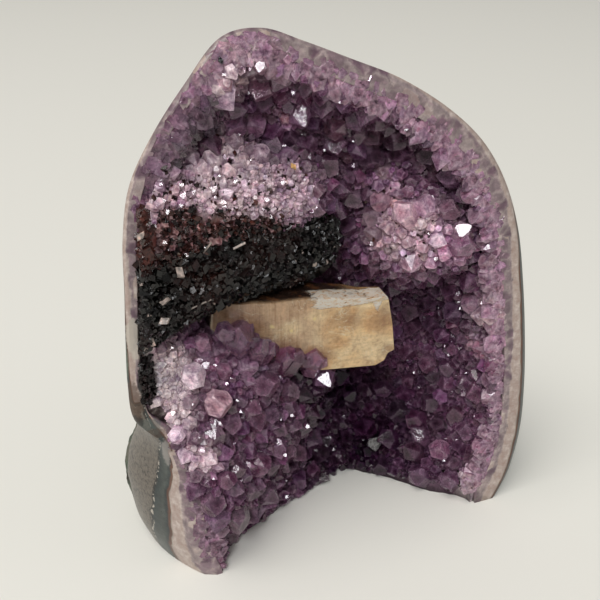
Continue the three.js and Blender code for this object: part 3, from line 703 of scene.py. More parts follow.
# Crystals that stand up in front of the calcite bar: where the tip is, which way it points, radius,
# share of pale colour
standingCrystals = (
    ((-31.4, -24.5, 83.4), (-0.1, -0.55, 0.8), 5.0, 0.35),
    ((-36.5, -25.0, 84.5), (-0.3, -0.6, 0.7), 3.4, 0.5),
    ((-23.9, -23.5, 77.2), (0.1, -0.5, 0.85), 3.6, 0.3),
    ((-20.2, -23.0, 74.8), (0.3, -0.5, 0.8), 2.8, 0.15),
    ((-16.3, -22.0, 71.6), (-0.1, -0.4, 0.9), 3.4, 0.25),
    ((-11.2, -22.0, 69.6), (0.3, -0.4, 0.85), 3.0, 0.1),
    ((-6.2, -21.5, 67.6), (0.0, -0.5, 0.85), 3.4, 0.5),
    ((-2.4, -21.0, 63.6), (0.3, -0.6, 0.7), 2.6, 0.3),
    ((-27.5, -24.0, 78.6), (-0.2, -0.7, 0.6), 2.6, 0.15),
    ((-13.5, -22.5, 67.5), (-0.2, -0.7, 0.6), 2.6, 0.45),
    ((-8.6, -22.0, 65.0), (0.1, -0.8, 0.5), 2.4, 0.2),
)


def makeStanding():
    # each point hangs back from its tip along its own axis
    rng = np.random.default_rng(4)
    tip, axis, radius, pale = (np.array(part, float) for part in zip(*standingCrystals))
    axis = unit(axis)
    ground = tip + shell["origin"] - axis * (slope * radius)[:, None]
    p = placePoints(rng, ground, axis, radius, 0, radius * 2.6)
    none = np.zeros(len(radius))
    seeds = {"pale": pale, "shadeAndDarkTone": none, "white": none, "rust": none}
    makePoints("standingCrystals", p, crystalTints(rng, seeds),
               crystalMaterial("clearAmethyst", 0.75, 0.04, tone(170, 110, 150), 30.0))


def crystalSeeds(rng):
    # candidates spread evenly over the crust's area, the largest first, each kept if it is clear of
    # the ones before; a kept crystal enters itself in all cells of the space that it blocks
    large, crowding = len(largeCrystals), amethyst["crowding"]
    s, w, radius = ([column] for column in np.transpose(largeCrystals)[:3])
    for tries, low, high in amethyst["sizes"]:
        cs, v, e = rng.uniform(0.002, 0.998, tries), rng.uniform(0.0, 0.998, tries), 0.002
        cw = np.sin(v * math.pi / 2)
        ds = crustPoint(np.minimum(1, cs + e), cw) - crustPoint(np.maximum(0, cs - e), cw)
        ahead, behind = np.sin((v + e) * math.pi / 2), np.sin((v - e) * math.pi / 2).clip(0)
        dv = crustPoint(cs, ahead) - crustPoint(cs, behind)
        area = np.linalg.norm(np.cross(ds, dv), axis=-1)
        kept = rng.uniform(0, 1, tries) < area / np.percentile(area, 97)
        s.append(cs[kept])
        w.append(cw[kept])
        radius.append(mix(low, high, rng.uniform(0, 1, kept.sum()) ** 1.5))
    # more of them along both sides of the base
    tries = amethyst["baseTries"]
    side = rng.uniform(0, 0.016, tries)
    s.append(np.where(rng.uniform(0, 1, tries) < 0.5, side, 1 - side))
    w.append(np.sin(rng.uniform(0, 1, tries) * math.pi / 2))
    radius.append(rng.uniform(1.0, 1.9, tries))
    s, w, radius = np.concatenate(s), np.concatenate(w), np.concatenate(radius)
    place = crustPoint(s, w)
    normal = normalOf(crustPoint, np.clip(s, 0.005, 0.995), np.minimum(0.995, w))
    ground = place + normal * slabAt(place)[:, None]
    ground[:, 2] = np.maximum(ground[:, 2], 0.5)
    spots, added = ground - shell["origin"], np.arange(len(s)) >= large
    look = looksAt(spots)
    # painted shade: the top left is darkened right behind its front edge
    shaded = smooth(0.03, 0.1, w) * smooth(0.5, 0.6, s) * smooth(0.68, 0.64, s) * (1 - look["milk"])
    look["shadeAndDarkTone"] = np.maximum(look["shadeAndDarkTone"], 0.85 * shaded)
    radius = radius * np.where(added, look["grain"], 1)
    radius = radius * mix(1, mix(0.5, 1, smooth(0, 9, ground[:, 2])), smooth(-12, -20, ground[:, 0]))
    first, last = amethyst["bareEdge"]
    gone = np.maximum(insideOf(fissure, spots), insideOf(bareRock, spots)) > 0.5
    gone |= (s > first) & (s < last) & (w < mix(0.12, 0.2, s > 0.745))
    gone |= (insideOf(overLedge, spots) > 0.5) & (radius > 1.1)
    gone |= (radius > 2.6) & (w < 0.14) & added
    gone |= (radius > 1.5) & (look["rust"] > 0.25)
    gone |= (radius > 1.5) & (s > 0.965) & (w < 0.16)
    cells, chosen = {}, []
    for i in np.concatenate([np.arange(large), large + np.argsort(-radius[large:], kind="stable")]):
        p, r = ground[i], radius[i]
        if p[2] < 0 or r < 0.4 or gone[i]:
            continue
        key = tuple((p // 2).astype(int))
        if any(np.dot(p - ground[j], p - ground[j]) < (crowding * (r + radius[j])) ** 2
               for j in cells.get(key, ())):
            continue
        chosen.append(i)
        low, high = (((p + way * crowding * 2 * r) // 2).astype(int) for way in (-1, 1))
        for cell in itertools.product(*(range(a, b + 1) for a, b in zip(low, high))):
            cells.setdefault(cell, []).append(i)
    chosen = np.array(chosen)
    look["pale"][:large], look["milk"][:large] = np.transpose(largeCrystals)[3:]
    look["white"][:large] = 0
    seeds = {"ground": ground, "normal": normal, "radius": radius, "nearCut": w < 0.05, "large": ~added}
    return pickOf({**seeds, **look}, chosen)


def looksAt(places):
    # shares of pale colour, milk and white and the crystals' size, blended from the patches, each of which
    # fades with the fourth power of the distance; and the darkness: painted shade from the shaded places and
    # darker tone at random
    pale, milk, shadeAndDarkTone, white = (np.zeros(len(places)) for _ in range(4))
    grain = np.ones(len(places))
    for at, radius, palePart, milkPart, size, whitePart in patches:
        near = np.exp(-((np.linalg.norm(places - at, axis=-1) / radius) ** 4))
        pale = np.maximum(pale, near * palePart)
        milk = np.maximum(milk, near * milkPart)
        white = np.maximum(white, near * whitePart)
        grain = mix(grain, size, near)
    for at, radius, part in shadedPlaces:
        near = np.exp(-((np.linalg.norm(places - at, axis=-1) / radius) ** 2))
        shadeAndDarkTone = np.maximum(shadeAndDarkTone, near * part)
    cloud = cloudNoise(places, 14, 8) * 0.5 + cloudNoise(places, 6, 9) * 0.3
    x, z = places[:, 0], places[:, 2]
    low = smooth(1.5, -1.5, z - np.interp(x, *np.transpose(rustLine)) + 2.5 * cloudNoise(places, 5, 19))
    rust = low * smooth(98, 102, z) * smooth(-13, -20, x)
    return {"pale": np.clip(pale + 0.22 * cloud, 0, 1), "milk": milk, "white": white, "grain": grain,
            "shadeAndDarkTone": np.clip(shadeAndDarkTone + 0.2 * cloud, 0, 1), "rust": rust}


def insideOf(ball, places):
    # 0 outside, 1 well inside a stretched ball
    r = np.linalg.norm((places - ball["middle"]) / ball["radii"], axis=-1)
    return 1 - smooth(0.7, 1.3, r)


def slabAt(places):
    # the points' roots are thinner where the left foot ends and at the middle of the base
    x, low = places[..., 0], smooth(24, 6, places[..., 2])
    foot = smooth(-28, -38, x) * low
    return amethyst["slab"] - low * (1.6 * smooth(0, -18, x) + 1.3 * smooth(-18, 0, x)) - 0.9 * foot


def towardsEye():
    # the direction from the viewed place to the viewer, from the two angles
    turn, tilt = math.radians(view["turn"]), math.radians(view["tilt"])
    return np.array([math.sin(turn) * math.cos(tilt), -math.cos(turn) * math.cos(tilt), math.sin(tilt)])


def halfwayNormal(places):
    # the direction halfway between the viewer and the window, which a face must have to flash
    eye = np.array(view["target"]) + towardsEye() * view["distance"]
    spots = places - shell["origin"]
    return unit(unit(eye - spots) + unit(np.array(view["window"]) - spots))


def frameOf(axis, spin):
    # two directions square to each axis, turned about it by the spin
    helper = np.where(np.abs(axis[:, 2:]) < 0.9, [[0.0, 0.0, 1.0]], [[1.0, 0.0, 0.0]])
    u = unit(np.cross(helper, axis))
    v = np.cross(axis, u)
    c, q = np.cos(spin)[:, None], np.sin(spin)[:, None]
    return u * c + v * q, v * c - u * q


slope = 1.27 * math.cos(math.pi / 6)  # height of a point over its radius, corner to corner
ringAngles = math.pi / 6 + np.arange(6) * math.pi / 3
largeFaces = np.array([[0, 1 + j, 5 + 2 * j, 11 + 2 * j, 10 + (2 * j + 2) % 6, 4 + 2 * ((j + 1) % 3),
                        1 + (j + 1) % 3] for j in range(3)])
pointFaces = {
    3: np.array([[1 + j, 4 + 2 * j, 5 + 2 * j] for j in range(3)]
                + [[22 + j, face[i], face[(i + 1) % 7]] for j, face in enumerate(largeFaces)
                   for i in range(7)]),
    4: np.array([[17 + 2 * j, 16 + (2 * j + 2) % 6, 10 + (2 * j + 2) % 6, 11 + 2 * j] for j in range(3)]),
    6: np.array([[16 + 2 * j, 17 + 2 * j, 11 + 2 * j, 5 + 2 * j, 4 + 2 * j, 10 + 2 * j] for j in range(3)]
                + [[21, 20, 19, 18, 17, 16]]),
}
pointTriangles = sum(len(faces) * (corners - 2) for corners, faces in pointFaces.items())
baseClear = 0.25  # how far above the base the points end


def turned(places, p, u, v, axis):
    # a form's own x, y and z laid along three directions at its place
    return places[:, None] + p[..., :1] * u[:, None] + p[..., 1:2] * v[:, None] + p[..., 2:] * axis[:, None]


def pointPlaces(minor, length):
    # a six-sided point of radius 1: three large faces meet at the tip, three small ones stand between
    # them; minor is how low the small ones start, length the prism's; rows are tip, tops of the small
    # faces, their lower corners, the prism's upper ring, its lower ring and the large faces' middles
    n = len(minor)
    p = np.zeros((n, 25, 3))
    flat = math.cos(math.pi / 6)
    small = math.pi / 3 + np.arange(3) * 2 * math.pi / 3
    ray = np.stack([np.cos(small), np.sin(small)], -1)
    side = np.stack([-np.sin(small), np.cos(small)], -1)
    p[:, 1:4, :2] = 2 * minor[:, None, None] * flat * ray
    p[:, 1:4, 2] = -minor[:, None] * slope
    t = (flat * (0.5 - minor) / math.cos(math.pi / 6))[:, None, None]
    for j, way in ((4, -1), (5, 1)):
        p[:, j:10:2, :2] = flat * ray + way * t * side
        p[:, j:10:2, 2] = -slope * (1 - minor[:, None])
    ring = np.stack([np.cos(ringAngles), np.sin(ringAngles)], -1)
    p[:, 10:16, :2] = p[:, 16:22, :2] = ring
    p[:, 10:16, 2] = -slope
    p[:, 16:22, 2] = -slope - length[:, None]
    p[:, 22:25] = p[:, largeFaces].mean(axis=2)
    return p


def placePoints(rng, ground, axis, radius, rise, sink, nearCut=False, plane=0.25, facing=None):
    # every point is scaled, made a little uneven, turned to its axis, or with its first large face to a
    # given side, and set on its ground; by the front edge whatever passes the front cut is cut flat
    # there, and everywhere what passes the base
    n = len(ground)
    p = pointPlaces(rng.uniform(0.06, 0.42, n), (rise + sink) / radius)
    if facing is None:
        p[..., 0] *= rng.uniform(0.82, 1.12, n)[:, None]
        u, v = frameOf(axis, rng.uniform(0, 2 * math.pi, n))
    else:
        u = unit(facing - axis * (facing * axis).sum(axis=-1, keepdims=True))
        v = np.cross(axis, u)
    p *= radius[:, None, None]
    tip = ground + axis * (rise + slope * radius)[:, None]
    p = turned(tip, p, u, v, axis)
    cut = rimY(np.maximum(0, p[..., 2])) + plane
    p[..., 1] = np.where(np.reshape(nearCut, (-1, 1)), np.maximum(p[..., 1], cut), p[..., 1])
    p[..., 2] = np.maximum(p[..., 2], baseClear)
    return p


def insideSkin(p, s, inwards, clear=0.3):
    # what would pass the rock's outer surface, at its own depth behind the cut, is moved inwards to it
    z = p[..., 2]
    depth = np.clip((p[..., 1] - rimY(z)) / (shell["backY"] - rimY(z)), 0, 0.9)
    short = ((outerPoint(s[:, None], depth) - p) * inwards[:, None]).sum(axis=-1) + clear + 22 * depth
    return p + inwards[:, None] * np.maximum(0, short)[..., None]


def facesOf(count, groups, corners):
    # the faces of one form repeated for many, each with its own vertex numbers
    start = (np.arange(count) * corners)[:, None, None]
    return [(start + faces[None]).reshape(-1, faces.shape[1]) for faces in groups.values()]


def crystalTints(rng, seeds, fade=0.34, spread=0.22):
    # deep, middle and pale violet by the place, varied from crystal to crystal
    n = len(seeds["pale"])
    shade = np.clip(seeds["pale"] + rng.normal(0, 0.16, n), 0, 1)[:, None]
    shadeAndDarkTone, white, rust = (seeds[name][:, None] for name in ("shadeAndDarkTone", "white", "rust"))
    base = np.where(shade < 0.4, mix(amethyst["deep"], amethyst["middle"], shade / 0.4),
                    mix(amethyst["middle"], amethyst["pale"], (shade - 0.4) / 0.6))
    base = base * np.exp(rng.normal(0, spread, n))[:, None]
    # painted shade, with darker tone at random, takes colour away here, and the milky fade is less where it
    # lies
    base = base * (1 - shadeAndDarkTone * amethyst["darkening"]) * np.exp(rng.normal(0, 0.08, (n, 3)))
    base = mix(base, amethyst["white"] * np.exp(rng.normal(0, 0.1, (n, 1))), white)
    base = mix(base, amethyst["rust"] * np.exp(rng.normal(0, 0.4, (n, 1))), rust)
    base = mix(base, amethyst["milk"], fade * (1 - shadeAndDarkTone) * 0.5)
    return np.clip(np.repeat(base[:, None], 25, axis=1), 0.004, 0.9)


# how near each vertex of a point is to an edge, for the painted edge highlight: the tip, the small faces, the
# rings, the middles
pointEdges = np.concatenate([np.full(16, 1.0), np.full(6, 0.5), np.zeros(3)])


def makePoints(name, p, tints, material):
    # many six-sided points as one mesh
    n = len(p)
    print(name, n, "points", n * pointTriangles, "triangles")
    makePiece(name, p.reshape(-1, 3), facesOf(n, pointFaces, 25), material,
              {"edge": np.tile(pointEdges, n)}, tints.reshape(-1, 3))


def pickOf(seeds, which):
    # some of the seeds, with all that is known of them
    return {key: value[which] for key, value in seeds.items()}


# Single crystals whose face flashes: the two parameters of the crust, and the radius
flashes = (
    (0.267, 0.621, 3.4), (0.484, 0.975, 2.2), (0.345, 0.346, 2.0), (0.477, 0.06, 2.0),
    (0.5375, 0.329, 1.9), (0.524, 0.384, 1.6), (0.219, 0.02, 1.6), (0.385, 0.646, 1.2),
    (0.174, 0.47, 1.2), (0.19, 0.03, 0.9), (0.352, 0.79, 1.0), (0.761, 0.752, 1.1),
    (0.8535, 0.485, 1.3), (0.898, 0.43, 1.0), (0.75, 0.444, 1.0), (0.336, 0.703, 0.9),
    (0.336, 0.645, 0.9), (0.596, 0.534, 1.5), (0.622, 0.4285, 1.3), (0.594, 0.568, 1.1),
    (0.612, 0.471, 0.9), (0.641, 0.236, 1.2), (0.629, 0.421, 0.8), (0.552, 0.673, 1.0),
    (0.465, 0.66, 0.9), (0.3, 0.55, 1.0), (0.1, 0.3, 0.8), (0.07, 0.4, 0.8), (0.93, 0.3, 1.0),
    (0.9, 0.6, 1.1), (0.86, 0.7, 0.9), (0.72, 0.8, 0.8), (0.5, 0.5, 0.8), (0.44, 0.4, 0.8),
    (0.4, 0.3, 0.9), (0.56, 0.3, 0.8),
)
# Flashing points that the front cut went through, by the share of the way round, how far inwards of the
# outer line, and the radius
cutFlashes = ((0.532, 5.2, 3.4), (0.436, 3.2, 2.2), (0.394, 1.4, 1.4), (0.24, 3.5, 1.2), (0.47, 4.5, 1.2),
              (0.585, 3.0, 1.1), (0.33, 4.6, 1.0), (0.15, 7.0, 1.1))
# The largest flashing point stands free below the calcite bar: place of its shoulder, and radius
windowPoint = ((-0.7, -15.5, 51.9), 4.2)
moreFlashes = 90  # small ones, by chance where the painted shade and darker tone stay low


def makeFlashes():
    # a large face of each point looks halfway between the viewer and the window, and its axis leans
    # from there towards the ground's own direction
    rng = np.random.default_rng(52)
    s, w, radius = np.array(flashes).T
    place = crustPoint(s, w)
    normal = normalOf(crustPoint, np.clip(s, 0.005, 0.995), np.minimum(0.99, w))
    ground = place + normal * (slabAt(place) + 0.7 * radius)[:, None]
    extra = pickOf(crystals, rng.choice(np.flatnonzero(crystals["shadeAndDarkTone"] < 0.5), moreFlashes, replace=False))
    size = rng.uniform(0.35, 1.1, moreFlashes)
    rs, inward, rimRadius = np.array(cutFlashes).T
    inwards = unit(normalOf(hollowPoint, rs, 0.0 * rs) * [1, 0, 1])
    onRim = outerPoint(rs, 0.0) + inwards * inward[:, None]
    onRim[:, 1] = rimY(onRim[:, 2]) + 0.9 * rimRadius
    ground = np.concatenate([ground, extra["ground"] + extra["normal"] * 1.3 * extra["radius"][:, None],
                             [np.array(windowPoint[0]) + shell["origin"]], onRim])
    radius = np.concatenate([radius, size, [windowPoint[1]], rimRadius])
    normal = np.concatenate([normal, extra["normal"], [[0.0, -1.0, 0.0]], unit(inwards + [0, -1.2, 0])])
    half = unit(halfwayNormal(ground) + rng.normal(0, 0.02, ground.shape))
    tilt = math.atan(slope / math.cos(math.pi / 6))
    aside = unit(normal - half * (normal * half).sum(axis=-1, keepdims=True))
    axis = half * math.cos(tilt) + aside * math.sin(tilt)
    p = placePoints(rng, ground, axis, radius, 0, radius * 0.9 + 1.2, facing=half)
    p[-len(rs):] = insideSkin(p[-len(rs):], rs, inwards, 0.8)
    makePoints("flashingPoints", p, crystalTints(rng, looksAt(ground - shell["origin"])),
               crystalMaterial("flashingAmethyst", 0.5, 0.015, rippled=0.06))


def makeCrystals():
    # the points on the crust in three meshes: clear ones, fine ones and milky ones
    rng = np.random.default_rng(21)
    seeds = crystalSeeds(rng)
    milky = seeds["milk"] + rng.normal(0, 0.12, len(seeds["milk"])) > 0.45
    fine = seeds["radius"] < amethyst["fine"]
    violet = tone(160, 100, 140)
    kinds = (
        ("amethystPoints", ~milky & ~fine, 0.3, crystalMaterial("amethyst", 0.6, 0.04, violet, 40.0)),
        ("amethystGrains", ~milky & fine, 0.3, crystalMaterial("amethystFine", 0.5, 0.07)),
        ("milkyCrystals", milky, 0.38, crystalMaterial("milkyAmethyst", 0.2, 0.2, zoned=0.7)),
    )
    for name, which, spread, material in kinds:
        part = pickOf(seeds, which)
        ground, normal, radius = part["ground"], part["normal"], part["radius"]
        n = len(radius)
        axis = unit(normal + rng.normal(0, 1, (n, 3)) * np.where(part["large"], 0.1, 0.3)[:, None])
        axis[:, 2] = mix(axis[:, 2], 0.5 * np.abs(axis[:, 2]) + 0.2, smooth(7, 0, ground[:, 2]))
        axis = unit(axis)
        rise = radius * rng.uniform(-0.1, 0.7, n)
        p = placePoints(rng, ground, axis, radius, rise, radius * 0.5 + 1.5, part["nearCut"])
        # roots end just behind the hollow's wall, so that none comes through a thin part of the rock
        below = ((ground[:, None] - p) * normal[:, None]).sum(axis=-1) - (slabAt(ground) + 0.5)[:, None]
        p = p + normal[:, None] * np.maximum(0, below)[..., None]
        p[..., 2] = np.maximum(p[..., 2], baseClear)
        makePoints(name, p, crystalTints(rng, part, spread=spread), material)
    return seeds


# "bare" gives three shares of the way round: there are none from the first to the second, past the
# ledge, and none after the third
cutPoints = {"count": 760, "radius": (1.5, 3.7), "bare": (0.655, 0.845, 0.975)}


def makeCutPoints():
    # points that the front cut went through lengthwise: they lie in the cut with their tips inwards,
    # rooted where the amethyst begins on the front edge
    rng = np.random.default_rng(33)
    n = cutPoints["count"]
    s = (np.arange(n) + rng.uniform(0, 1, n)) / n
    first, last, end = cutPoints["bare"]
    s = s[(s < first) | (s > last) & (s < end)]
    n = len(s)
    outerLine, innerLine = outerPoint(s, 0.0), hollowPoint(s, 0.0)
    inwards = unit(normalOf(hollowPoint, np.clip(s, 0.005, 0.995), 0.0 * s) * [1, 0, 1])
    radius = mix(*cutPoints["radius"], rng.uniform(0, 1, n) ** 1.5)
    start = np.interp(s, rock["layerShare"], rock["amethystStart"])
    start = np.where(s > 0.46, start + 0.4 * radius, np.maximum(start, 0) + 0.9 * radius)
    wall = np.linalg.norm(outerLine - innerLine, axis=-1)
    spread = rng.uniform(0, 1, n) * np.maximum(1.5, wall + 2.5 - start)
    ground = outerLine + inwards * (start + spread)[:, None]
    ground[:, 1] = rimY(ground[:, 2]) + radius * rng.uniform(0.5, 1.1, n)
    scatter = rng.normal(0, 1, (n, 3)) * [0.3, 0.15, 0.3]
    axis = unit(inwards + scatter + np.array([0, -0.32, 0]))
    rise = radius * rng.uniform(0.0, 0.9, n)
    p = insideSkin(placePoints(rng, ground, axis, radius, rise, radius * 0.1 + 0.3, True, -0.06), s, inwards)
    look = looksAt(ground - shell["origin"])
    # painted shade: the points at the crown behind the top edge are darker and less pale; towards the left
    # foot they are darker and less pale as well
    crown = smooth(0.53, 0.57, s) * smooth(0.68, 0.64, s) * mix(0.45, 0.85, smooth(2, 7, start + spread))
    foot = smooth(0.88, 0.93, s)
    part = {"pale": np.clip(look["pale"] * 0.6 + mix(0.26, -0.1, crown) - 0.2 * foot, 0, 1),
            "shadeAndDarkTone": np.maximum(look["shadeAndDarkTone"] * 0.3, np.maximum(0.3 * foot, crown)),
            "white": 0.0 * s, "rust": 0.0 * s}
    makePoints("cutPoints", p, crystalTints(rng, part, 0.8), crystalMaterial("cutAmethyst", 0.45, 0.1))


crustSheet = {"across": 220, "deep": 110, "relief": 0.5}


def makeCrust():
    # the quartz that the points grow from, a closed sheet between the hollow's wall and their roots
    s = np.linspace(0, 1, crustSheet["across"] + 1)[:, None]
    w = np.sin(np.linspace(0, 1, crustSheet["deep"] + 1) * math.pi / 2)[None, :]
    level = (s <= 0) | (s >= 1)

    def lifted(surface, height, relief):
        n = normalOf(surface, np.clip(s, 0.005, 0.995), np.minimum(0.99, w))
        n = np.where(level[..., None], unit(n * [1, 1, 0]), n)
        p = surface(s, w)
        p = p + n * (height + relief * cloudNoise(p, 2.2, 4))[..., None]
        p[..., 1] = np.where(w < 0.03, np.maximum(rimY(p[..., 2]) + 1.1, p[..., 1]), p[..., 1])
        p[..., 2] = np.where(level, 0, np.maximum(0, p[..., 2]))
        p[:, -1] = p[0, -1]
        return p

    bare = crustPoint(s, w)
    lower = 2.0 * insideOf(fissure, bare - shell["origin"])
    front = lifted(crustPoint, slabAt(bare) - 0.4 - lower, crustSheet["relief"])
    back = lifted(hollowPoint, np.full((s.size, w.size), 0.3), 0)
    places = np.concatenate([back[:, ::-1], front], axis=1).reshape(-1, 3)
    spots = places - shell["origin"]
    look = {key: value[:, None] for key, value in looksAt(spots).items()}
    # painted shade from the shaded places darkens the roots
    tint = mix(amethyst["deep"], amethyst["milk"], 0.2 + 0.6 * look["pale"] ** 1.5) * (1 - 0.7 * look["shadeAndDarkTone"])
    for colour, share in ((amethyst["white"], look["white"]), (amethyst["rust"], look["rust"]),
                          (rockLook["basalt"], insideOf(bareRock, spots)[:, None]),
                          (amethyst["black"], insideOf(fissure, spots)[:, None])):
        tint = mix(tint, colour, share)
    # painted shade: the roots darken towards the floor
    tint = tint * mix(0.3, 1, smooth(0, 5, places[:, 2]))[:, None]
    return makePiece("crystalRoots", places, [gridFaces(s.size, 2 * w.size)] + baseFaces(s.size, w.size),
                     crystalMaterial("quartzRoot", 0.15, 0.3),
                     {"edge": np.full(len(places), 0.6)}, tint, soft=True, weld=True)


print("crust")
crystalRoots = makeCrust()
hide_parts("amethyst_crust")
crystals = makeCrystals()
makeCutPoints()
makeStanding()
makeFlashes()

# Loose grains are set on the nearest of these
crystalPieces = ("amethystPoints", "milkyCrystals", "amethystGrains", "crystalRoots")

ledge = {
    "path": ((-62, -21.5, 101.5), (-50, -19, 101.5), (-30, -16, 100.5), (-10, -10, 98.5), (8, -5, 97)),
    "halfHeight": (21, 12.5), "halfDepth": (10, 8),
    "tipFrom": 0.78, "tipLength": 0.22,  # the shares of the path where it rounds off
    "clear": 3.6,  # how far inside the rock's left side it stays
    "along": 150, "around": 120, "relief": 1.0,
    "grains": 15600, "rootGrains": 1100, "grainSize": (0.22, 1.15),
    "black": tone(12, 9, 11), "brown": tone(42, 25, 22), "red": tone(74, 43, 38), "grey": tone(176, 168, 162),
    "flashing": 0.02, "greyShare": 0.009,  # shares of the grains that flash and that are grey
    "redLine": ((-58, 109), (-41, 112.5), (-31, 114), (-22, 118)),  # x and z, reddish brown above it
    # pale plates: middle, half sizes, which way they face
    "plates": (((-57.5, -28.0, 118.7), (1.2, 0.9, 0.4), (-0.3, -0.9, 0.3)),
               ((-47.9, -27.4, 105.9), (1.5, 1.1, 0.5), (-0.3, -0.7, 0.6)),
               ((-52.7, -28.0, 98.6), (1.2, 1.4, 0.5), (-0.5, -0.6, 0.5)),
               ((-53.3, -28.2, 92.5), (1.0, 1.3, 0.4), (-0.2, -0.9, 0.2)),
               ((-44.2, -26.6, 93.2), (0.25, 0.25, 3.0), (0.86, 0.2, 0.47)),
               ((-58.0, -28.0, 104.0), (0.7, 1.0, 0.3), (-0.4, -0.8, 0.4)),
               ((-40.0, -27.5, 110.5), (0.3, 0.3, 1.8), (0.8, 0.0, 0.6)),
               ((-30.5, -26.0, 109.0), (0.35, 0.3, 1.7), (0.75, -0.1, 0.6)),
               ((-9.2, -14.0, 126.5), (0.9, 0.8, 0.8), (-0.2, -0.8, 0.5)),
               ((-30.8, -15.0, 157.5), (0.8, 0.7, 0.6), (-0.1, -0.9, 0.4))),
    # the last two plates: a golden grain among the violet crystals, a black one at the crown
    "golden": tone(226, 184, 120),
}


def ledgePoint(t, a):
    # rounded-box rings along a path, closed by a quarter ellipse at the tip
    tip = ledge["tipFrom"]
    end = np.where(t < tip, 1, np.sqrt(np.maximum(0, 1 - ((t - tip) / ledge["tipLength"]) ** 2)))
    high = mix(*ledge["halfHeight"], smooth(0, 0.6, t)) * end
    deep = mix(*ledge["halfDepth"], t) * end
    c, q = np.cos(a), np.sin(a)
    power = np.where((c < 0) & (q < 0), 0.75 + 0.5 * smooth(0.2, 0.5, t), 0.75)
    y = deep * np.sign(c) * np.abs(c) ** power
    z = high * np.sign(q) * np.abs(q) ** power
    return splineAt(np.array(ledge["path"], float), t) + np.stack([np.zeros_like(y), y, z], -1)


def keptInside(p, clear):
    # moves what passes the rock's left side back into it, at its own height and depth
    share = np.linspace(0.53, 1, 300)
    high = 1.0
    for _ in range(3):
        level = p[..., 2] / high
        w = np.clip((p[..., 1] - rimY(level)) / (shell["backY"] - rimY(level)), 0, 0.9)
        high = drawnIn(w, shell["highPower"], shell["backRoot"])
    s = np.interp(-level, -outlineAt(share)[:, 1], share)
    p[..., 0] = np.maximum(p[..., 0], outerPoint(s, w)[..., 0] + clear)
    return p


def ledgeNormal(t, a, step=0.01):
    # cross product of the steps along and around the ledge, outwards
    dt = ledgePoint(np.minimum(0.995, t + step), a) - ledgePoint(np.maximum(0, t - step), a)
    da = ledgePoint(t, a + step) - ledgePoint(t, a - step)
    return -unit(np.cross(dt, da))


blockCorners = np.array([(x, y, z) for x in (-1, 1) for y in (-1, 1) for z in (-1, 1)], float)
blockFaces = {4: np.array([[0, 1, 3, 2], [4, 6, 7, 5], [0, 4, 5, 1], [2, 3, 7, 6], [0, 2, 6, 4],
                           [1, 5, 7, 3]])}


def makeBlocks(name, rng, places, sizes, axis, tints, material, skew=0.45):
    # small skewed blocks: eight corners of a box, sheared at random and turned to their axis
    n = len(places)
    p = np.broadcast_to(blockCorners, (n, 8, 3)) * sizes[:, None]
    p = p + p[..., [1, 2, 0]] * rng.uniform(-1, 1, (n, 1, 3)) * np.reshape(skew, (-1, 1, 1))
    p = turned(places, p, *frameOf(axis, rng.uniform(0, 2 * math.pi, n)), axis)
    colours = np.repeat(tints[:, None], 8, axis=1).reshape(-1, 3)
    makePiece(name, p.reshape(-1, 3), facesOf(n, blockFaces, 8), material, colours=colours)


def settle(places, clear, names):
    # where a place stands clear of the named pieces, it moves onto their nearest surface
    trees = []
    for name in names:
        form = bmesh.new()
        form.from_mesh(bpy.data.objects[name].data)
        trees.append(BVHTree.FromBMesh(form))
        form.free()
    settled = places.copy()
    for i, place in enumerate((places - shell["origin"]) * 0.001):
        spot = Vector(place)
        near, normal, _, gap = min((tree.find_nearest(spot) for tree in trees), key=lambda hit: hit[3])
        if gap * 1000 > clear[i] and (spot - near).dot(normal) > 0:
            settled[i] = np.array(near) * 1000 + shell["origin"]
    return settled


def ledgeTint(rng, places):
    # black, with brown in clouds and reddish brown along the top
    cloud = np.clip(0.5 + cloudNoise(places, 7, 11), 0, 1)[:, None]
    tint = mix(ledge["black"], ledge["brown"], cloud**2 * 0.7)
    line = np.interp(places[:, 0], *np.transpose(ledge["redLine"]))
    top = smooth(-1.5, 1.5, places[:, 2] - line + 3 * cloudNoise(places, 5, 18))[:, None]
    return mix(tint, ledge["red"], top * 0.75) * np.exp(rng.normal(0, 0.35, len(places)))[:, None]


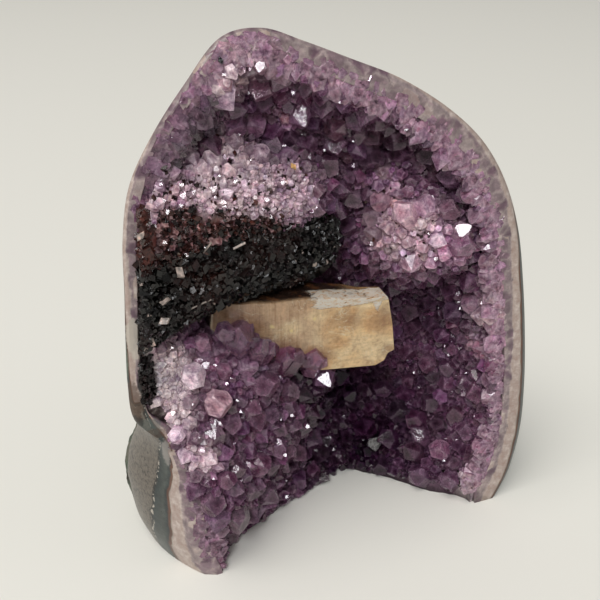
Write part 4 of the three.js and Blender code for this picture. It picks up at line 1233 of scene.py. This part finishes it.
def makeLedge():
    # the swept body, the grains that cover it and the pale plates between them
    rng = np.random.default_rng(8)
    material, clear = blackMaterial(), ledge["clear"]
    t = np.sin(np.linspace(0, 1, ledge["along"] + 1) * math.pi / 2)[:, None]
    a = np.linspace(0, 2 * math.pi, ledge["around"] + 1)[None, :-1]
    t, a = np.broadcast_arrays(t, a)
    p = ledgePoint(t, a)
    fade = np.minimum(1, (1 - t) * 12)
    rough = 0.9 * cloudNoise(p, 9, 12) + 0.5 * cloudNoise(p, 3, 13)
    p = keptInside(p + ledgeNormal(t, a) * (ledge["relief"] * rough * fade - 0.2)[..., None], clear)
    n, m = p.shape[:2]
    ends = [np.arange(m)[None, ::-1], ((n - 1) * m + np.arange(m))[None, :]]
    places = p.reshape(-1, 3)
    body = makePiece("ledgeBody", places, [tubeFaces(n, m)] + ends, material,
                     colours=np.clip(ledgeTint(rng, places), 0.003, 1), soft=True, weld=True)
    count = ledge["grains"]
    t, a = rng.uniform(0.0, 1, count) ** 0.9 * 0.985, rng.uniform(0.5, 1.5, count) * math.pi
    root = np.arange(count) < ledge["rootGrains"]  # these cover the flat end at the wall
    t[root] = 0.0
    spots, out = ledgePoint(t, a), ledgeNormal(t, a)
    spots[root] = mix(np.array(ledge["path"][0]), spots[root], rng.uniform(0, 1, (root.sum(), 1)) ** 0.5)
    out[root] = unit(out[root] * 0.3 + np.array([-1, -0.3, 0]))
    spots = spots + out * rng.uniform(-0.3, 0.7, count)[:, None]
    spots = keptInside(spots, clear + rng.uniform(0, 1.5, count))
    fine = smooth(-22, 0, spots[:, 0])
    size = mix(*ledge["grainSize"], rng.uniform(0, 1, count) ** 3.2) * mix(1.15, 0.75, fine)
    sizes = size[:, None] * rng.uniform(0.35, 1, (count, 3))
    sizes[:, 2] *= mix(1, 1.7, fine)
    axis = unit(out * mix(1, 0.3, fine)[:, None] + rng.normal(0, 0.6, (count, 3))
                + fine[:, None] * np.array([0, 0, 1.2]))
    flash = rng.uniform(0, 1, count) < ledge["flashing"]
    axis[flash] = halfwayNormal(spots[flash])
    spots[flash] += out[flash] * 0.5
    sizes[flash] = np.maximum(sizes[flash], [0.3, 0.3, 0.2]) * [1.3, 0.8, 0.6]
    tints = ledgeTint(rng, spots)
    pale = rng.uniform(0, 1, (count, 1)) < ledge["greyShare"]
    tints = np.clip(np.where(pale, ledge["grey"], tints), 0.003, 1)
    makeBlocks("ledgeCrystals", rng, spots, sizes, axis, tints, material, np.where(flash, 0.0, 0.45))
    middles, halves, ways = (np.array(part, float) for part in zip(*ledge["plates"]))
    greys = ledge["grey"] * rng.uniform(0.8, 1.2, (len(middles), 1))
    greys[-2:] = ledge["golden"], ledge["black"]
    middles = settle(middles + shell["origin"], np.full(len(middles), 0.3),
                     crystalPieces + ("cutPoints", "rockShell", "ledgeCrystals"))
    middles = middles + unit(ways) * halves[:, 2:] * 0.7
    makeBlocks("palePlates", rng, middles, halves * [0.85, 0.8, 1], unit(ways), greys, material, 0.5)
    return body


print("black ledge")
ledgeBody = makeLedge()
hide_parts("black_ledge")

# Loose black grains among the crystals: middle, radius, how many, smallest and largest half size
grainFields = (
    ((-30, -20, 120), 20, 130, 0.25, 0.8), ((26, -17, 101), 13, 40, 0.25, 0.6),
    ((20, -10, 113), 8, 25, 0.25, 0.7), ((-8, -8, 128), 10, 20, 0.3, 0.8),
    ((47, -34, 4), 7, 50, 0.3, 0.8), ((-50, -18, 126), 10, 40, 0.25, 0.8),
)
fissureTries = 420


def makeLooseGrains():
    # each field takes crystals near its middle at random and sets a grain by the tip of each; where the
    # crust is rusty there is one on nearly every crystal, and more lie in the fissure
    rng = np.random.default_rng(71)
    ground, normal = crystals["ground"], crystals["normal"]
    spots, ways, sizes = [], [], []
    for middle, radius, count, low, high in grainFields:
        away = np.linalg.norm(ground - shell["origin"] - middle, axis=-1) / radius
        chosen = rng.choice(np.flatnonzero(away < rng.uniform(0.3, 1.1, len(away))), count)
        reach = crystals["radius"][chosen, None]
        aside = unit(np.cross(normal[chosen], rng.normal(0, 1, (count, 3))))
        beside = aside * reach * rng.uniform(0.5, 1, (count, 1))
        spots.append(ground[chosen] + normal[chosen] * reach * 0.5 + beside)
        ways.append(normal[chosen])
        sizes.append(mix(low, high, rng.uniform(0, 1, count) ** 2))
    rusty = np.flatnonzero(crystals["rust"] > 0.35)
    rusty = rng.choice(rusty, len(rusty) * 3)
    spots.append(ground[rusty] + normal[rusty] * 0.9 * crystals["radius"][rusty, None])
    ways.append(normal[rusty])
    sizes.append(mix(0.25, 0.9, rng.uniform(0, 1, len(rusty)) ** 2.5))
    s, w = rng.uniform(0.742, 0.8, fissureTries), rng.uniform(0, 0.3, fissureTries) ** 1.4
    along = crustPoint(s, w)
    inFissure = insideOf(fissure, along - shell["origin"]) > 0.4
    ways.append(normalOf(crustPoint, s, w)[inFissure])
    spots.append(along[inFissure] + ways[-1])
    sizes.append(rng.uniform(0.25, 0.8, inFissure.sum()))
    spots, ways, size = np.concatenate(spots), np.concatenate(ways), np.concatenate(sizes)
    n = len(size)
    others = n - inFissure.sum()
    spots = spots + rng.normal(0, 0.5, (n, 3))
    axis = unit(ways + rng.normal(0, 0.5, (n, 3)))
    clear = np.where(np.arange(n) < others, 0.3 * size, 1.0)
    spots = settle(spots, clear, crystalPieces + ("ledgeBody", "rockShell"))
    redness = rng.uniform(0, 1, (n, 1)) ** 1.5 * 0.9
    redness[others:] *= 0.15
    tints = mix(ledge["black"], ledge["red"], redness) * np.exp(rng.normal(0, 0.3, (n, 1)))
    blocks = size[:, None] * rng.uniform(0.5, 1, (n, 3))
    print("looseGrains", n)
    makeBlocks("looseGrains", rng, spots, blocks, axis, np.clip(tints, 0.003, 1), blackMaterial())


makeLooseGrains()

calcite = {
    "outline": ((-37, 80), (-30, 72), (-12, 62), (-2.5, 58.5), (16, 57), (19, 58.5), (20, 61), (22.2, 62),
                (21, 72), (19, 82.2), (4, 84), (-16, 86), (-36, 88)),
    "middle": (-4.0, 73.0), "faceY": -21.6, "turn": -0.073, "depth": 13.0, "bevel": 0.7,
    "around": 260, "rings": 40, "relief": 0.3,
}


def makeCalcite():
    # the front face's outline carried inwards to its middle at the front and at the back, and straight
    # from front to back between; the depth tapers to the right
    corners = np.array(calcite["outline"] + calcite["outline"][:1], float)
    runs = np.concatenate([[0], np.cumsum(np.linalg.norm(np.diff(corners, axis=0), axis=1))])
    at = np.linspace(0, runs[-1], calcite["around"] + 1)[:-1]
    edge = np.stack([np.interp(at, runs, column) for column in corners.T], -1)
    n, bevel, depth = calcite["rings"], calcite["bevel"], calcite["depth"]
    # share of the way to the outline and depth of each ring: front, bevel, sides and back
    profile = [(share, 0.0) for share in np.linspace(0.02, 0.985, n)]
    profile += [(1.0, d) for d in (bevel * 0.4, bevel, *np.linspace(1.5, depth - 1, 14))]
    profile += [(share, depth) for share in np.linspace(0.985, 0.02, 8)]
    share, deep = np.array(profile).T[..., None]
    flat = calcite["middle"] + (edge[None] - calcite["middle"]) * share[..., None]
    x, z = flat[..., 0], flat[..., 1]
    y = calcite["faceY"] + calcite["turn"] * x + deep * mix(1, 0.55, smooth(-8, 22, x))
    p = np.stack([x, y, z], -1)
    steps = 0.8 * cloudNoise(p * [0.6, 1, 1], 9, 14) + 0.2 * cloudNoise(p, 2.5, 15)
    front = (np.arange(len(profile)) < n)[:, None]
    p[..., 1] += np.where(front, np.maximum(0, steps * calcite["relief"] + 0.1), 0)
    wavy = 0.5 * cloudNoise(p * [1, 0.4, 0.2], 4, 16)
    p[..., 2] += np.where(p[..., 2] > 80, wavy, 0)
    rows, m = p.shape[:2]
    caps = [np.arange(m)[None, :], ((rows - 1) * m + np.arange(m))[None, ::-1]]
    places = p.reshape(-1, 3)
    x, y, z = places.T
    past = y - calcite["faceY"] - calcite["turn"] * x
    # painted shadow: the faces behind the front face darken, less so towards the right, and the left end
    # darkens too
    shade = np.maximum(smooth(0.3, 2, past) * (1 - 0.6 * smooth(4, 16, x)), 0.5 * smooth(-20, -34, x))
    low = mix(82.2, 78.6, smooth(-14, -2, x))
    edge = smooth(low, low + 3.2, z) * (1 - 0.45 * smooth(5, 9, past))
    # a flaky tongue hangs down at the right, narrowing from the edge to its tip
    tongue = smooth(1.2, -1.2, np.abs(x - 15.5) - 0.42 * (z - 75.5))
    flakes = np.maximum(edge, 0.95 * tongue * smooth(4, 2, past)) * smooth(-18, -2, x) * 0.97
    line = smooth(1.2, 0.5, past) * smooth(82.4, 83.2, z + 0.11 * (x - 19))
    values = {"rightward": smooth(-10, 4, x), "shade": shade, "flakes": np.maximum(flakes, 0.95 * line)}
    return makePiece("calciteBar", places, [tubeFaces(rows, m)[:, [0, 3, 2, 1]]] + caps, calciteMaterial(),
                     values)


print("calcite bar")
calciteBar = makeCalcite()
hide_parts("calcite_crystal")

stage = {
    "floor": tone(232, 231, 224), "world": (1.0, 0.985, 0.955), "worldPower": 0.28,
    "floorSize": 4.0, "middle": (0, 0, 0.08),
    "window": {"size": (0.76, 0.94), "power": 44.0, "panes": (3, 2), "colour": (0.97, 0.985, 1)},
    "key": {"place": (-1.3, -0.35, 3.2), "size": 2.2, "power": 66.0, "colour": (1, 0.97, 0.93)},
    "fill": {"place": (2.6, -1.4, 1.9), "size": 1.6, "power": 4.0, "colour": (1, 1, 1)},
}


def areaLight(name, place, target, sizeX, sizeY, power, colour=(1, 1, 1)):
    # a lit rectangle that faces its target
    light = bpy.data.lights.new(name, "AREA")
    light.shape, light.size, light.size_y = "RECTANGLE", sizeX, sizeY
    light.energy, light.color = power, colour
    lamp = bpy.data.objects.new(name, light)
    aim = Vector(target) - Vector(place)
    lamp.matrix_world = Matrix.Translation(place) @ aim.to_track_quat("-Z", "Y").to_matrix().to_4x4()
    bpy.context.collection.objects.link(lamp)


def makeStage():
    # the floor, the pale surroundings, a window of several panes and two soft lamps
    size = stage["floorSize"]
    mesh = bpy.data.meshes.new("floor")
    mesh.from_pydata([(x * size, y * size, 0) for x, y in ((-1, -1), (1, -1), (1, 1), (-1, 1))], [],
                     [(0, 1, 2, 3)])
    floor = bpy.data.objects.new("floor", mesh)
    bpy.context.collection.objects.link(floor)
    mesh.materials.append(newMaterial("paleFloor", Roughness=0.7, Base_Color=(*stage["floor"], 1))[0])
    world = bpy.data.worlds.new("studio")
    world.use_nodes = True
    sky = world.node_tree.nodes["Background"].inputs
    sky[0].default_value, sky[1].default_value = (*stage["world"], 1), stage["worldPower"]
    bpy.context.scene.world = world
    middle, window = Vector(stage["middle"]), stage["window"]
    place = Vector(view["window"]) * 0.001
    aim = (middle - place).normalized()
    side = aim.cross(Vector((0, 0, 1))).normalized()
    up = side.cross(aim)
    columns, rows = window["panes"]
    wide, high = window["size"][0] / columns, window["size"][1] / rows
    for column, row in itertools.product(range(columns), range(rows)):
        offset = side * (column - (columns - 1) / 2) * wide + up * (row - (rows - 1) / 2) * high
        areaLight(f"pane{column}{row}", place + offset, middle + offset, wide * 0.84, high * 0.9,
                  window["power"] / (columns * rows), window["colour"])
    for name in ("key", "fill"):
        lamp = stage[name]
        size, power = lamp["size"], lamp["power"]
        areaLight(name, Vector(lamp["place"]), middle, size, size, power, lamp["colour"])


def makeCamera():
    # looks at the target from its two angles and its distance
    back = Vector(towardsEye())
    data = bpy.data.cameras.new("camera")
    data.lens, data.sensor_width = 49.2, 36.0
    camera = bpy.data.objects.new("camera", data)
    place = Vector(view["target"]) * 0.001 + back * view["distance"] * 0.001
    camera.matrix_world = Matrix.Translation(place) @ back.to_track_quat("Z", "Y").to_matrix().to_4x4()
    bpy.context.collection.objects.link(camera)
    bpy.context.scene.camera = camera


print("stage")
bpy.context.scene.view_settings.view_transform = "Standard"
makeStage()
makeCamera()
